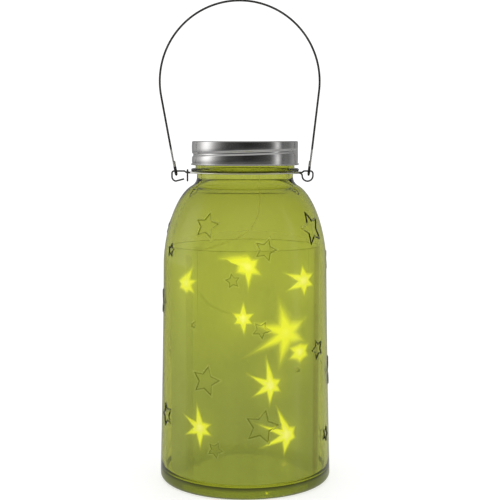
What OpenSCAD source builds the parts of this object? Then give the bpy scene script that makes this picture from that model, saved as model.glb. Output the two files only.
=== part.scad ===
// Mason jar lantern: an embossed-glass storage jar with a wire bail, a two-piece screw closure that
// carries a battery light unit, a rolled clear film liner and a string of micro lights.
// Millimetres, +Z up, origin at the centre of the jar's base.

/* [Jar glass] */
// Radius of the body just above the heel
heel_r = 58.0; // [57:0.5:60]
// Radius of the body where the shoulder starts
shoulder_r = 55.0; // [54.5:0.5:57]
// Height of the heel's rounding, and its radius
heel_h = 4.0; // [3:0.5:6]
// Height at which the shoulder starts
shoulder_z = 146.0; // [140:1:160]
// Height of the shoulder, from its start to the neck
shoulder_h = 54.3; // [50:0.5:60]
// Outer radius of the neck
neck_r = 32.3; // [32:0.1:33]
// Thickness of the body's wall
wall = 3.0; // [2.5:0.25:3.5]
// Radius of the mouth's bore
mouth_r = 29.4; // [29:0.1:29.6]
// Thickness of the glass at the middle of the floor
floor_t = 4.5; // [3.5:0.5:6]
// Height of the push-up under the base
push_up = 2.5; // [1.5:0.5:3]
// Width of the foot ring that the jar stands on
foot_w = 9.0; // [6:1:12]
// Radius of the round between the floor and the wall inside
floor_fillet = 4.0; // [2:0.5:4]

/* [Jar finish] */
// Height of the transfer bead, the round collar under the thread
bead_h = 2.3; // [1.8:0.1:2.6]
// Outer radius of the transfer bead
bead_r = 36.2; // [35.5:0.1:36.4]
// Straight neck between the shoulder and the transfer bead
neck_h = 8.3; // [7.5:0.1:9]
// Height of the threaded finish above the bead
finish_h = 16.4; // [16.2:0.1:17]
// Radius of the finish at the root of the thread
root_r = 33.2; // [33:0.1:33.4]
// Radius of the finish at the crest of the thread
crest_r = 34.8; // [34.6:0.1:34.8]
// Rise of the thread in one turn
pitch = 6.35; // [6:0.05:6.5]
// Turns of the thread
thread_turns = 1.0; // [0.8:0.05:1]

/* [Screw band] */
// Gap between the thread's crest and the inside of the band's wall
band_gap = 0.3; // [0.25:0.05:0.4]
// Height of the band
band_h = 16.0; // [15.5:0.1:16.2]
// Thickness of the band's sheet
sheet = 0.4; // [0.3:0.05:0.5]
// Radius of the curl along the band's lower edge
curl_r = 0.6; // [0.4:0.05:0.65]
// Radius of the opening in the band's top
band_opening_r = 30.5; // [29:0.5:32]
// Height of the rolled groove
groove_w = 2.0; // [1.8:0.1:2.2]
// Depth of the rolled groove
groove_d = 0.8; // [0.7:0.05:0.9]

/* [Lid disc and gasket] */
// Thickness of the flat lid disc
disc_t = 0.3; // [0.25:0.05:0.4]
// Gap between the disc's edge and the band
disc_gap = 0.5; // [0.3:0.1:0.7]
// Thickness of the rubber gasket
gasket_t = 1.0; // [0.8:0.1:1.2]

/* [Light unit] */
// Outer radius of the round battery housing
pod_r = 28.0; // [27.9:0.1:28.2]
// Height of the battery housing
pod_h = 15.3; // [15.2:0.1:16]
// Thickness of the housing's walls
pod_wall = 1.5; // [1.4:0.1:1.6]
// Diameter of one cell
cell_d = 10.5; // [10.3:0.1:10.5]
// Length of one cell with its terminal
cell_l = 44.5; // [44:0.1:44.5]
// Gap between the two cells
cell_gap = 0.7; // [0.5:0.1:0.8]
// Radius of the battery door's hinge pins
pin_r = 0.6; // [0.5:0.05:0.6]
// Travel of the on-off switch
switch_travel = 2.0; // [1.5:0.5:2]
// Radius of the three screws that hold the housing to the disc
lid_screw_r = 1.25; // [1:0.25:1.25]

/* [Film and lights] */
// Gap between the rolled film and the glass
film_gap = 0.3; // [0.2:0.05:0.6]
// Thickness of the film
film_t = 0.2; // [0.1:0.05:0.25]
// Height of the film
film_h = 152.5; // [140:0.5:152.5]
// Radius of the light string's wire
lead_r = 0.3; // [0.25:0.05:0.4]
// Radius of one light bead
led_r = 1.5; // [1.2:0.1:1.6]
// Gap between the light beads and the film
led_gap = 0.2; // [0.15:0.05:0.4]

/* [Wire bail] */
// Radius of the bail's wire
bail_wire_r = 0.58; // [0.5:0.02:0.65]
// Radius of the bail's arch, at the middle of its wire
bail_arch_r = 53.2; // [51:0.1:56]
// Sideways offset of the hand-bent arch
bail_offset = -3.5; // [-4:0.5:0]
// Height of the arch's centre above the ears' bars
bail_rise = 59.3; // [56:0.1:64]
// Length of the folded-back tail of each hook above its ear
hook_tail = 6.8; // [4:0.2:10]
// Radius of the neck wire
neck_wire_r = 0.5; // [0.4:0.05:0.6]
// Distance of the right ear's middle from the jar's axis
right_ear_x = 42.0; // [41:0.5:44]
// Distance of the left hook's middle from the jar's axis
left_hook_x = 46.6; // [45:0.1:47]

/* [Hidden] */
$fn = 96;

// Fits. A running gap lets a piece turn or slide; a loose gap is what a piece lies in.
run_gap = 0.06;
slide_gap = 0.1;
loose_gap = 0.2;

// Jar profile
taper_power = 1.3;
shoulder_power = 1.79;
neck_fillet = 1.5;
profile_steps = 14;
neck_z = shoulder_z + shoulder_h;
bead_z = neck_z + neck_h;
finish_z = bead_z + bead_h;
rim_z = finish_z + finish_h;
rim_round = 1.0;
inside_z = push_up + floor_t;

// Closure heights, from the rim up
disc_z = rim_z + gasket_t;
band_top_z = disc_z + disc_t + sheet;
band_z = band_top_z - band_h;
band_inner_r = crest_r + band_gap;
band_r = band_inner_r + sheet;
disc_r = band_inner_r - disc_gap;
gasket_w = 3.6;

// Thread on the glass, and the rolled groove of the band that hooks under it
thread_z = finish_z + 7.7;
thread_base = 2.2;
thread_top = 1.2;
thread_step = 5;
roll_steps = 18;
thread_seat = 0.45;
groove_below = (thread_top + groove_w) / 2 + thread_seat;

// Housing
pod_z = disc_z - pod_h;
pod_in_r = pod_r - pod_wall;
cavity_z = pod_z + pod_wall;
roof_z = disc_z - pod_wall;
cell_y = (cell_d + cell_gap) / 2;
cell_z = (cavity_z + roof_z) / 2;
contact_t = 0.3;
spring_l = 1.3;
plate_h = 0.76 * cell_d;
bay_x = cell_l / 2 + spring_l + contact_t;
rib_t = 1.2;
rib_y = cell_y + cell_d / 2 + 0.3;
rib_z = cavity_z + 1.5;

// Battery door and its hinge
door_x = bay_x - 0.35;
door_y = rib_y + 0.6;
barrel_r = 1.0;
hinge_y = -door_y - 0.7;
hinge_z = pod_z + barrel_r + 0.1;
barrel_half = 19.0;
pin_l = 2.0;
lug_w = 2.4;
lug_half_y = 1.3;
notch_r = 3.0;

// Round parts of the housing's other side
board_z = roof_z - 5.0;
board_t = 1.0;
board_y0 = rib_y + rib_t + 0.5;
board_w = 7.5;
board_x = 12.0;
post_x = 9.0;
post_y = board_y0 + board_w / 2;
post_r = 1.7;
board_screw_r = 0.8;
switch_x = -6.0;
switch_y = board_y0 + 4.2;
switch_l = 9.0;
switch_w = 4.2;
switch_h = 3.6;
slider_l = 4.0;
slider_t = 1.2;
nib_l = 2.0;
nib_w = 1.5;
nib_h = 1.0;
grommet_x = 10.0;
grommet_y = board_y0 + 4.0;
grommet_r = 2.6;
grommet_neck_r = 1.6;
grommet_flange = 0.8;

// Screws through the disc into the housing
lid_screw_pcd = 48.0;
lid_screw_l = 4.5;
lid_screw_a = [90, 215, 325];
screw_head_h = 0.4;
boss_r = 2.6;
boss_l = 6.0;

// Film. It just clears the round of the floor below and the shoulder at its top.
film_out_r = min(body_at(inside_z + floor_fillet) - wall - floor_fillet, inside_at(inside_z + film_h))
    - film_gap;
film_in_r = film_out_r - film_t;
lap_angle = 16;
lap_start = 226;
tape_w = 6.0;
tape_t = 0.08;
tape_end = 4.0;

// Light string. Each point is [angle, height, light]: the angle runs from the front towards +X as the
// string winds down, the height is in percent of the film's, and light is 1 where a bead sits.
string_r = film_in_r - film_t - led_gap - led_r;
string_route = [
    [-120, 93.8, 0], [-60, 95.7, 0], [2, 93.8, 1], [50, 86.6, 1], [110, 87.2, 0], [178, 86.6, 1],
    [250, 88.5, 0], [312, 85.2, 1], [334, 76.7, 0], [359, 72.8, 1], [378, 72.1, 0], [391, 65.6, 1],
    [405, 56.4, 1], [450, 54.4, 0], [504, 55.7, 1], [580, 54.4, 0], [680, 47.9, 0], [739, 43.3, 1],
    [800, 37.4, 0], [879, 30.2, 1], [960, 28.2, 0], [1044, 24.3, 1], [1112, 21.6, 1], [1170, 13.8, 0],
    [1224, 7.2, 1]
];
// The string's drop from the housing to the film: [angle, percent of string_r, percent of the way up
// from the first point of the route to the housing]
string_drop = [
    [-209, 43.2, 88.9], [-208, 45.5, 76.2], [-202, 55.8, 57.1], [-190, 74.4, 34.9], [-170, 90.9, 15.9]
];
string_sides = 8;
string_steps = 6;

// Wire fittings
wire_gap = 0.1;
wire_sides = 12;
arch_steps = 48;
ear_bar_r = neck_wire_r + 0.02;
hook_y = bail_wire_r + ear_bar_r + wire_gap;
ring_r = neck_r + neck_wire_r + 0.3;
ring_z = bead_z - neck_wire_r - 0.15;
ear_z = ring_z + 1.0;
ear_h = 6.8;
ear_bar = 1.9;
ear_half = 3.65;
hook_drop = 1.5;
right_hook_w = 0.4;
right_hook_off = 1.0;
left_hook_w = 0.6;
left_bar_in = -40.5;
left_corner = 1.5;
left_round = 3.0;
tail_x = -38.6;
tail_l = 6.6;

// ---------------------------------------------------------------- profiles and sweeps

// Radius of the tapered body at a height
function body_at(z) =
    shoulder_r + (heel_r - shoulder_r) * pow(1 - (z - heel_h) / (shoulder_z - heel_h), taper_power);

// Inner radius of the jar at a height between its floor's round and its neck
function inside_at(z) = z < shoulder_z ? body_at(z) - wall
    : dome((z - shoulder_z) / (shoulder_h - wall), mouth_r, shoulder_r - wall);

// Radius of a domed shoulder, t from 0 at its start to 1 at its neck
function dome(t, neck, start) =
    neck + (start - neck) * pow(1 - pow(t, shoulder_power), 1 / shoulder_power);

// Points of an arc, in the plane of a profile
function arc(c, r, a0, a1, n) =
    [for (i = [0 : n]) c + r * [cos(a0 + (a1 - a0) * i / n), sin(a0 + (a1 - a0) * i / n)]];

function reversed(list) = [for (i = [len(list) - 1 : -1 : 0]) list[i]];

// The body's side, moved in by an inset
function side(inset, z0) =
    [for (i = [0 : profile_steps]) let (z = z0 + (shoulder_z - z0) * i / profile_steps)
        [body_at(max(z, heel_h)) - inset, z]];

// The shoulder from the body up to a neck radius; the steps crowd towards the neck
function shoulder(neck, start, height, z0, last) =
    [for (i = [1 : profile_steps]) let (t = last * sin(90 * i / profile_steps))
        [dome(t, neck, start), z0 + height * t]];

// Catmull-Rom point between b and c
function between(a, b, c, d, t) =
    0.5 * ((2 * b) + (c - a) * t + (2 * a - 5 * b + 4 * c - d) * t * t
        + (3 * b - a - 3 * c + d) * t * t * t);

// A smooth line through a list of points
function smooth(p, steps) = concat(
    [for (i = [0 : len(p) - 2]) for (k = [0 : steps - 1])
        between(p[max(i - 1, 0)], p[i], p[i + 1], p[min(i + 2, len(p) - 1)], k / steps)],
    [p[len(p) - 1]]);

// Point at an angle from the front, a radius and a height
function place(a, r, z) = [r * sin(a), -r * cos(a), z];

// Faces of a swept tube of n rings of m points, with both ends closed
function tube_faces(n, m) = concat(
    [[for (k = [0 : m - 1]) k]],
    [for (i = [0 : n - 2]) for (k = [0 : m - 1]) let (j = (k + 1) % m)
        each [[i * m + k, (i + 1) * m + k, (i + 1) * m + j], [i * m + k, (i + 1) * m + j, i * m + j]]],
    [[for (k = [m - 1 : -1 : 0]) (n - 1) * m + k]]);

// Direction of a line of points at its point i
function heading(p, i) =
    let (d = p[min(i + 1, len(p) - 1)] - p[max(i - 1, 0)]) d / norm(d);

// The part of v that is square to u, at length 1
function square_to(u, v) = let (w = v - (v * u) * u) w / norm(w);

// Solid swept along a line of points. Its rings stand square to the line, and the first one is
// turned by the direction up.
module swept_wire(p, r, m, up) {
    n = len(p);
    rings = [for (i = 0, u = heading(p, 0), v = square_to(u, up); i < n;
            i = i + 1, u = heading(p, min(i, n - 1)), v = square_to(u, v))
        let (w = cross(u, v)) for (k = [0 : m - 1])
            p[i] + r * (cos(360 * k / m) * v + sin(360 * k / m) * w)];
    polyhedron(points = rings, faces = tube_faces(n, m));
}

// Helical ridge from radius r0 to r1, with a width at each, winding up from z0
module helix_ridge(r0, r1, w0, w1, z0, turns) {
    n = ceil(turns * 360 / thread_step);
    points = [for (i = [0 : n]) let (a = turns * 360 * i / n, z = z0 + pitch * a / 360)
        each [[r0 * cos(a), r0 * sin(a), z - w0 / 2], [r1 * cos(a), r1 * sin(a), z - w1 / 2],
            [r1 * cos(a), r1 * sin(a), z + w1 / 2], [r0 * cos(a), r0 * sin(a), z + w0 / 2]]];
    polyhedron(points = points, faces = tube_faces(n + 1, 4));
}

// Rolled ridge or groove from radius r0 to r1 that climbs in short level steps
module stepped_thread(r0, r1, w, z0, turns) {
    step = 360 * turns / roll_steps;
    for (i = [0 : roll_steps - 1])
        translate([0, 0, z0 + pitch * step * (i + 0.5) / 360 - w / 2]) rotate([0, 0, step * i])
            rotate_extrude(angle = step + 0.5) translate([r0, 0]) square([r1 - r0, w]);
}

// Points of a bend in a plane of constant y: angles run from +X towards +Z
function bend(c, bend_r, a0, a1, n) =
    [for (i = [0 : n]) let (a = a0 + (a1 - a0) * i / n) c + bend_r * [cos(a), 0, sin(a)]];

// ---------------------------------------------------------------- jar, film and wire

module glass_jar() {
    outer = concat(
        [[0, push_up], [heel_r - heel_h - foot_w, push_up], [heel_r - heel_h - foot_w + 2, 0]],
        arc([heel_r - heel_h, heel_h], heel_h, -90, 0, 8),
        side(0, heel_h + 3),
        shoulder(neck_r, shoulder_r, shoulder_h, shoulder_z, 0.995),
        arc([neck_r + neck_fillet, neck_z + neck_fillet], neck_fillet, 270, 180, 4),
        [[neck_r, bead_z]],
        arc([bead_r - bead_h / 2, bead_z + bead_h / 2], bead_h / 2, -90, 90, 12),
        [[root_r, finish_z]],
        arc([root_r - rim_round, rim_z - rim_round], rim_round, 0, 90, 4));
    inner = concat(
        [[0, inside_z]],
        arc([body_at(inside_z + floor_fillet) - wall - floor_fillet, inside_z + floor_fillet],
            floor_fillet, -90, 0, 6),
        side(wall, inside_z + floor_fillet + 4),
        shoulder(mouth_r, shoulder_r - wall, shoulder_h - wall, shoulder_z, 0.998),
        arc([mouth_r + rim_round, rim_z - rim_round], rim_round, 180, 90, 4));
    color([0.66, 0.68, 0.32, 0.5]) union() {
        rotate_extrude() polygon(concat(outer, reversed(inner)));
        helix_ridge(root_r - 0.5, crest_r, thread_base + 0.4, thread_top, thread_z, thread_turns);
    }
}

// One turn of film, with its lap lying inside it
module star_film() {
    color([0.58, 0.62, 0.26, 0.5]) translate([0, 0, inside_z]) union() {
        rotate_extrude() translate([film_in_r, 0]) square([film_t, film_h]);
        rotate([0, 0, lap_start - lap_angle / 2]) rotate_extrude(angle = lap_angle)
            translate([film_in_r - film_t, 0]) square([film_t, film_h]);
    }
}

// Clear tape over the film's outer lap edge
module film_tape() {
    span = tape_w / film_out_r * 180 / PI;
    color([0.8, 0.82, 0.6, 0.5]) translate([0, 0, inside_z + tape_end])
        rotate([0, 0, lap_start - span / 2]) rotate_extrude(angle = span)
            translate([film_out_r, 0]) square([tape_t, film_h - 2 * tape_end]);
}

// Round stretch of the neck wire between two places along X
module ear_bar_round(x0, x1) {
    translate([min(x0, x1), 0, ear_z]) rotate([0, 90, 0]) cylinder(h = abs(x1 - x0), r = ear_bar_r);
}

// One wire: it hooks over the left ear, runs round the back of the neck, turns the right ear, comes
// back round the front and ends in the left ear's open loop.
module neck_wire() {
    step_a = 6;
    right_in = right_ear_x - ear_half + 0.35;
    right_a = acos(ring_r / right_in);
    left_a = acos(ring_r / -left_bar_in);
    corner = ear_half - ear_bar;
    high = ear_z - corner;
    low_z = ear_z - ear_h;
    low = low_z + ear_half;
    turn = 2 * neck_wire_r + 0.1;
    fold = neck_wire_r + 0.55;
    out = -left_hook_x - left_hook_w / 2 - bail_wire_r - wire_gap;
    fold_z = ear_z - 0.35;
    tail = [[tail_x, -fold, fold_z - tail_l], [tail_x, -fold, fold_z - tail_l / 2]];
    over = [for (a = [0 : 30 : 150]) [tail_x, -fold * cos(a), fold_z + fold * sin(a)]];
    down = [[tail_x + 0.3, fold + 0.7, ring_z]];
    half_ring = [for (a = [180 - left_a : -step_a : right_a]) [ring_r * cos(a), ring_r * sin(a), ring_z]];
    right_top = concat(
        [[right_in - 1, 1, ring_z]],
        bend([right_ear_x - ear_bar, 0, high], corner, 150, 90, 3),
        bend([right_ear_x + ear_bar, 0, high], corner, 90, 0, 4));
    right_low = [for (i = [0 : 10]) let (a = -18 * i)
        [right_ear_x + ear_half * cos(a), -turn * i / 10, low + ear_half * sin(a)]];
    right_out = [[right_ear_x - ear_half, -turn, ring_z - 1.2], [right_in - 1.2, -turn - 1, ring_z - 0.1]];
    front = [for (i = [len(half_ring) - 1 : -1 : 0]) let (p = half_ring[i]) [p.x, -p.y, p.z]];
    left = concat(
        [[left_bar_in + 2.3, -3.2, ring_z], [left_bar_in + 0.8, -2, ring_z + 0.35],
            [left_bar_in + 0.1, -0.9, ear_z - 0.1], [left_bar_in - 0.4, 0, ear_z],
            [(left_bar_in + out) / 2, 0, ear_z]],
        bend([out, 0, ear_z - left_corner], left_corner, 90, 180, 4),
        bend([out - left_corner + left_round, 0, low_z + left_round], left_round, 180, 262, 6),
        [[left_bar_in - 0.4, 0, low_z + left_round / 2]]);
    color("silver") union() {
        swept_wire(
            concat(tail, over, down, half_ring, right_top, right_low, right_out, front, left),
            neck_wire_r, wire_sides, [1, 0, 0]);
        // the two bars that the bail's hooks turn on
        ear_bar_round(left_bar_in - 0.8, out + 1.2);
        ear_bar_round(right_ear_x - ear_bar + 0.4, right_ear_x + ear_bar - 0.4);
    }
}

// Points of one leg of the bail, from the top of its hook's tail to its meeting with the arch. x is
// where the leg passes its ear, w how far the tail stands inwards of it, and s is 1 on the right.
function bail_leg(x, w, s) =
    let (d = [bail_offset - x, bail_rise],
        lean = 90 - atan2(d.y, d.x) + s * asin(bail_arch_r / norm(d)),
        leg_l = sqrt(d * d - bail_arch_r * bail_arch_r),
        fold = norm([w, 2 * hook_y]),
        across = [-s * w / fold, 2 * hook_y / fold],
        hook = concat(
            [[fold, hook_tail], [fold, hook_tail / 2], [fold, 0]],
            [for (a = [0 : 22.5 : 180]) [fold / 2 * (1 + cos(a)), -hook_drop - fold / 2 * sin(a)]],
            [[0, 0], [0, leg_l / 2]]))
    [for (q = hook) let (a = q[0] * across.x)
        [x + a * cos(lean) + q[1] * sin(lean), -hook_y + q[0] * across.y,
            ear_z - a * sin(lean) + q[1] * cos(lean)]];

// Angle, seen from the arch's centre, at which the arch meets the leg that stands at x
function arch_end(x, s) =
    let (d = [bail_offset - x, bail_rise]) atan2(d.y, d.x) - s * asin(bail_arch_r / norm(d)) - s * 90;

module bail_handle() {
    right_x = right_ear_x + right_hook_off + right_hook_w / 2;
    left_x = -left_hook_x - left_hook_w / 2;
    arch = bend([bail_offset, -hook_y, ear_z + bail_rise], bail_arch_r, arch_end(right_x, 1),
        arch_end(left_x, -1), arch_steps);
    color("gainsboro") swept_wire(
        concat(bail_leg(right_x, right_hook_w, 1), arch, reversed(bail_leg(left_x, left_hook_w, -1))),
        bail_wire_r, wire_sides, [0, 1, 0]);
}

// ---------------------------------------------------------------- closure

module lid_band() {
    top_round = 0.9;
    curl_z = band_z + curl_r;
    groove_z = thread_z - groove_below;
    color([0.45, 0.45, 0.44]) difference() {
        union() {
            rotate_extrude() polygon(concat(
                [[band_opening_r, band_top_z - sheet], [band_opening_r, band_top_z]],
                arc([band_r - top_round, band_top_z - top_round], top_round, 90, 0, 6),
                [[band_r, curl_z], [band_inner_r, curl_z]],
                arc([band_r - top_round, band_top_z - top_round], top_round - sheet, 0, 90, 6)));
            rotate_extrude() translate([band_r - curl_r + 0.7, curl_z]) circle(curl_r, $fn = 32);
            stepped_thread(band_r - groove_d - sheet, band_r - sheet / 2, groove_w, groove_z, thread_turns);
        }
        stepped_thread(band_r - groove_d, band_r + 0.5, groove_w - 2 * sheet, groove_z, thread_turns);
    }
}

module screw_places() {
    for (a = lid_screw_a) rotate([0, 0, a]) translate([lid_screw_pcd / 2, 0, 0]) children();
}

module lid_disc() {
    color([0.5, 0.5, 0.5]) difference() {
        translate([0, 0, disc_z]) cylinder(h = disc_t, r = disc_r);
        screw_places() translate([0, 0, disc_z - 1]) cylinder(h = disc_t + 2, r = lid_screw_r + slide_gap);
    }
}

module lid_gasket() {
    color([0.75, 0.72, 0.68]) translate([0, 0, rim_z]) difference() {
        cylinder(h = gasket_t, r = root_r + 0.2);
        translate([0, 0, -1]) cylinder(h = gasket_t + 2, r = root_r + 0.2 - gasket_w);
    }
}

module lid_screws() {
    color("silver") screw_places() translate([0, 0, disc_z + disc_t]) {
        cylinder(h = screw_head_h, r = lid_screw_r * 1.8);
        translate([0, 0, -disc_t - lid_screw_l]) cylinder(h = lid_screw_l + disc_t, r = lid_screw_r);
    }
}

// ---------------------------------------------------------------- light unit

// Outline of the opening that the battery door closes; grow is a gap all round it
module door_outline(grow) {
    low = hinge_y + lug_half_y + 3 * (loose_gap - grow);
    translate([-door_x - grow, low]) square([2 * (door_x + grow), door_y + grow - low]);
    translate([-barrel_half - grow, hinge_y]) square([2 * (barrel_half + grow), lug_half_y + 1]);
}

module battery_housing() {
    swing = barrel_r + loose_gap;
    color([0.12, 0.12, 0.12]) difference() {
        union() {
            difference() {
                translate([0, 0, pod_z]) cylinder(h = pod_h, r = pod_r);
                translate([0, 0, cavity_z]) cylinder(h = roof_z - cavity_z, r = pod_in_r);
                // door opening and the room in which the hinge barrel turns
                translate([0, 0, pod_z - 1]) linear_extrude(pod_wall + 2) door_outline(loose_gap);
                translate([-barrel_half - loose_gap, hinge_y - swing, pod_z - 1])
                    cube([2 * (barrel_half + loose_gap), 2 * swing, pod_wall + 2]);
            }
            for (s = [-1, 1]) {
                // ribs beside the cells
                translate([-bay_x, s > 0 ? rib_y : -rib_y - rib_t, rib_z])
                    cube([2 * bay_x, rib_t, roof_z - rib_z]);
                // lugs of the hinge
                translate([s > 0 ? barrel_half + loose_gap : -barrel_half - loose_gap - lug_w,
                    hinge_y - lug_half_y, pod_z])
                    cube([lug_w, 2 * lug_half_y, 2 * barrel_r + 0.6]);
            }
            for (x = [-post_x, post_x])
                translate([x, post_y, board_z]) cylinder(h = roof_z - board_z + 0.1, r = post_r);
            intersection() {
                screw_places() translate([0, 0, roof_z - boss_l]) cylinder(h = boss_l + 0.1, r = boss_r);
                translate([0, 0, pod_z]) cylinder(h = pod_h, r = pod_r - 0.4);
            }
        }
        for (s = [-1, 1])
            translate([s * (barrel_half + loose_gap + lug_w / 2), hinge_y, hinge_z]) rotate([0, 90, 0])
                cylinder(h = lug_w + 1, r = pin_r + run_gap, center = true);
        screw_places() translate([0, 0, disc_z - lid_screw_l])
            cylinder(h = lid_screw_l + 1, r = lid_screw_r);
        for (x = [-post_x, post_x])
            translate([x, post_y, board_z - 1]) cylinder(h = 4, r = board_screw_r);
        translate([switch_x - nib_l / 2 - switch_travel / 2 - slide_gap,
            switch_y - nib_w / 2 - slide_gap, pod_z - 1])
            cube([nib_l + switch_travel + 2 * slide_gap, nib_w + 2 * slide_gap, pod_wall + 2]);
        translate([grommet_x, grommet_y, pod_z - 1]) cylinder(h = pod_wall + 2, r = grommet_neck_r);
    }
}

module battery_door() {
    color([0.16, 0.16, 0.16]) difference() {
        union() {
            translate([0, 0, pod_z]) linear_extrude(pod_wall) door_outline(0);
            translate([0, hinge_y, hinge_z]) rotate([0, 90, 0])
                cylinder(h = 2 * barrel_half, r = barrel_r, center = true);
            translate([0, hinge_y, hinge_z]) rotate([0, 90, 0])
                cylinder(h = 2 * (barrel_half + pin_l), r = pin_r, center = true);
        }
        // finger notch
        translate([0, door_y + 1.2, pod_z - 1]) cylinder(h = 1.8, r = notch_r);
    }
}

// One cell along X; s is the side on which its terminal points
module cell(s) {
    nub_l = 0.9;
    rotate([0, s * 90, 0]) translate([0, 0, -cell_l / 2]) {
        cylinder(h = cell_l - nub_l, r = cell_d / 2);
        cylinder(h = cell_l, r = 2.0);
    }
}

module battery_cell_left() { color([0.2, 0.35, 0.6]) translate([0, -cell_y, cell_z]) cell(1); }

module battery_cell_right() { color([0.2, 0.35, 0.6]) translate([0, cell_y, cell_z]) cell(-1); }

// Spring of each cell, as the sleeve that its coils fill when they are pressed
module contact_springs() {
    color("silver") for (s = [-1, 1])
        translate([-s * (cell_l / 2), s * -cell_y, cell_z]) rotate([0, -s * 90, 0]) difference() {
            cylinder(h = spring_l, r = 3.0);
            translate([0, 0, -1]) cylinder(h = spring_l + 2, r = 2.2);
        }
}

module contact_plates() {
    color("silver") for (s = [-1, 1]) {
        translate([s * (bay_x - contact_t / 2), 0, cell_z])
            cube([contact_t, 2 * rib_y - 1.5, plate_h], center = true);
        for (y = [-cell_y, cell_y]) if (sign(y) != s)
            translate([s * (cell_l / 2 + spring_l / 2), y, cell_z])
                cube([spring_l, plate_h * 0.4, plate_h * 0.4], center = true);
    }
}

module driver_board() {
    color([0.1, 0.4, 0.2]) difference() {
        translate([-board_x, board_y0, board_z - board_t]) cube([2 * board_x, board_w, board_t]);
        for (x = [-post_x, post_x])
            translate([x, post_y, board_z - board_t - 1])
                cylinder(h = board_t + 2, r = board_screw_r + slide_gap);
    }
}

module driver_chip() {
    color([0.08, 0.08, 0.08]) {
        translate([-2.5, post_y - 2, board_z - board_t - 1.4]) cube([5, 4, 1.4]);
        translate([4, post_y - 1, board_z]) cube([2, 1.2, 0.6]);
        translate([-6, post_y - 1, board_z]) cube([2, 1.2, 0.6]);
    }
}

module board_screws() {
    color("silver") for (x = [-post_x, post_x]) translate([x, post_y, board_z - board_t]) {
        translate([0, 0, -0.8]) cylinder(h = 0.8, r = 1.5);
        cylinder(h = board_t + 2.8, r = board_screw_r);
    }
}

module switch_body() {
    room_l = slider_l + switch_travel + 2 * slide_gap;
    color([0.25, 0.25, 0.25]) translate([switch_x, switch_y, cavity_z]) difference() {
        translate([-switch_l / 2, -switch_w / 2, 0]) cube([switch_l, switch_w, switch_h]);
        translate([-room_l / 2, -switch_w / 2 + 0.7, -1])
            cube([room_l, switch_w - 1.4, 1 + slider_t + 2 * slide_gap]);
    }
}

module switch_slider() {
    color([0.9, 0.9, 0.9]) translate([switch_x - switch_travel / 2, switch_y, cavity_z + slide_gap]) {
        translate([-slider_l / 2, -switch_w / 2 + 0.7 + slide_gap, 0])
            cube([slider_l, switch_w - 1.4 - 2 * slide_gap, slider_t]);
        translate([-nib_l / 2, -nib_w / 2, -pod_wall - nib_h - slide_gap])
            cube([nib_l, nib_w, pod_wall + nib_h + slide_gap + 0.2]);
    }
}

module string_grommet() {
    color([0.15, 0.15, 0.15]) translate([grommet_x, grommet_y, pod_z]) difference() {
        union() {
            translate([0, 0, -grommet_flange]) cylinder(h = grommet_flange, r = grommet_r);
            cylinder(h = pod_wall, r = grommet_neck_r);
            translate([0, 0, pod_wall]) cylinder(h = grommet_flange, r = grommet_r);
        }
        translate([0, 0, -2]) cylinder(h = pod_wall + 4, r = lead_r + 0.05);
    }
}

// Height of a point of the string's route
function route_z(share) = inside_z + film_h * share / 100;

module light_string() {
    first_z = route_z(string_route[0][1]);
    drop = [for (p = string_drop)
        place(p[0], string_r * p[1] / 100, first_z + (pod_z - first_z) * p[2] / 100)];
    wound = smooth([for (p = string_route) [p[0], route_z(p[1])]], string_steps);
    top = [grommet_x, grommet_y, pod_z + pod_wall];
    exit = [grommet_x, grommet_y, pod_z - grommet_flange - 1];
    line = concat([top, exit], smooth(concat(drop, [place(wound[0][0], string_r, wound[0][1])]),
        string_steps), [for (i = [1 : len(wound) - 1]) place(wound[i][0], string_r, wound[i][1])]);
    color([0.5, 0.45, 0.35]) swept_wire(line, lead_r, string_sides, [1, 0, 0]);
}

module light_beads() {
    color([1, 0.9, 0.5]) for (p = string_route) if (p[2] == 1)
        translate(place(p[0], string_r, route_z(p[1]))) sphere(led_r, $fn = 24);
}

glass_jar();
star_film();
film_tape();
neck_wire();
bail_handle();
lid_band();
lid_disc();
lid_gasket();
lid_screws();
battery_housing();
battery_door();
battery_cell_left();
battery_cell_right();
contact_springs();
contact_plates();
driver_board();
driver_chip();
board_screws();
switch_body();
switch_slider();
string_grommet();
light_string();
light_beads();
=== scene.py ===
"""Mason jar lantern: a tinted jar with a wire bail, a screw closure with a battery light unit,
a sleeve of starburst film and a string of small lights behind it.

Lengths in the dataclasses are in millimetres and are turned into metres where a mesh is made.
"""

import logging
import math
from dataclasses import dataclass, replace
from enum import Enum
from functools import cached_property
from typing import Callable, Optional, Sequence, Union

import bmesh
import bpy
from mathutils import Matrix, Vector
from mathutils.geometry import intersect_point_line


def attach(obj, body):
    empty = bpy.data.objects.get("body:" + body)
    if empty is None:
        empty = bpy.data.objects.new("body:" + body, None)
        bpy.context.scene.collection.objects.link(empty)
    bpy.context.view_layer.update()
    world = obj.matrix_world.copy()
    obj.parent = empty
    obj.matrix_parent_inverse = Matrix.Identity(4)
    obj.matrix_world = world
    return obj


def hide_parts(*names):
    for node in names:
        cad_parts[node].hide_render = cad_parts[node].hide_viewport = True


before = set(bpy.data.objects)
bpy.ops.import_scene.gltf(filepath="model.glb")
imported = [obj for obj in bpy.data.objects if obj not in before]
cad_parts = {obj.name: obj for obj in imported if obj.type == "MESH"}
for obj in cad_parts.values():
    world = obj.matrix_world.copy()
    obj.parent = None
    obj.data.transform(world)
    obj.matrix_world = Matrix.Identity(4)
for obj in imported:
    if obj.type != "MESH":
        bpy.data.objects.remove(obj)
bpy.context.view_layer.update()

log = logging.getLogger("lantern")

MM = 0.001
Colour = tuple[float, float, float]
Point = tuple[float, float, float]
Value = Union[float, "Signal"]


# ------------------------------------------------------------------ shared geometry


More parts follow.
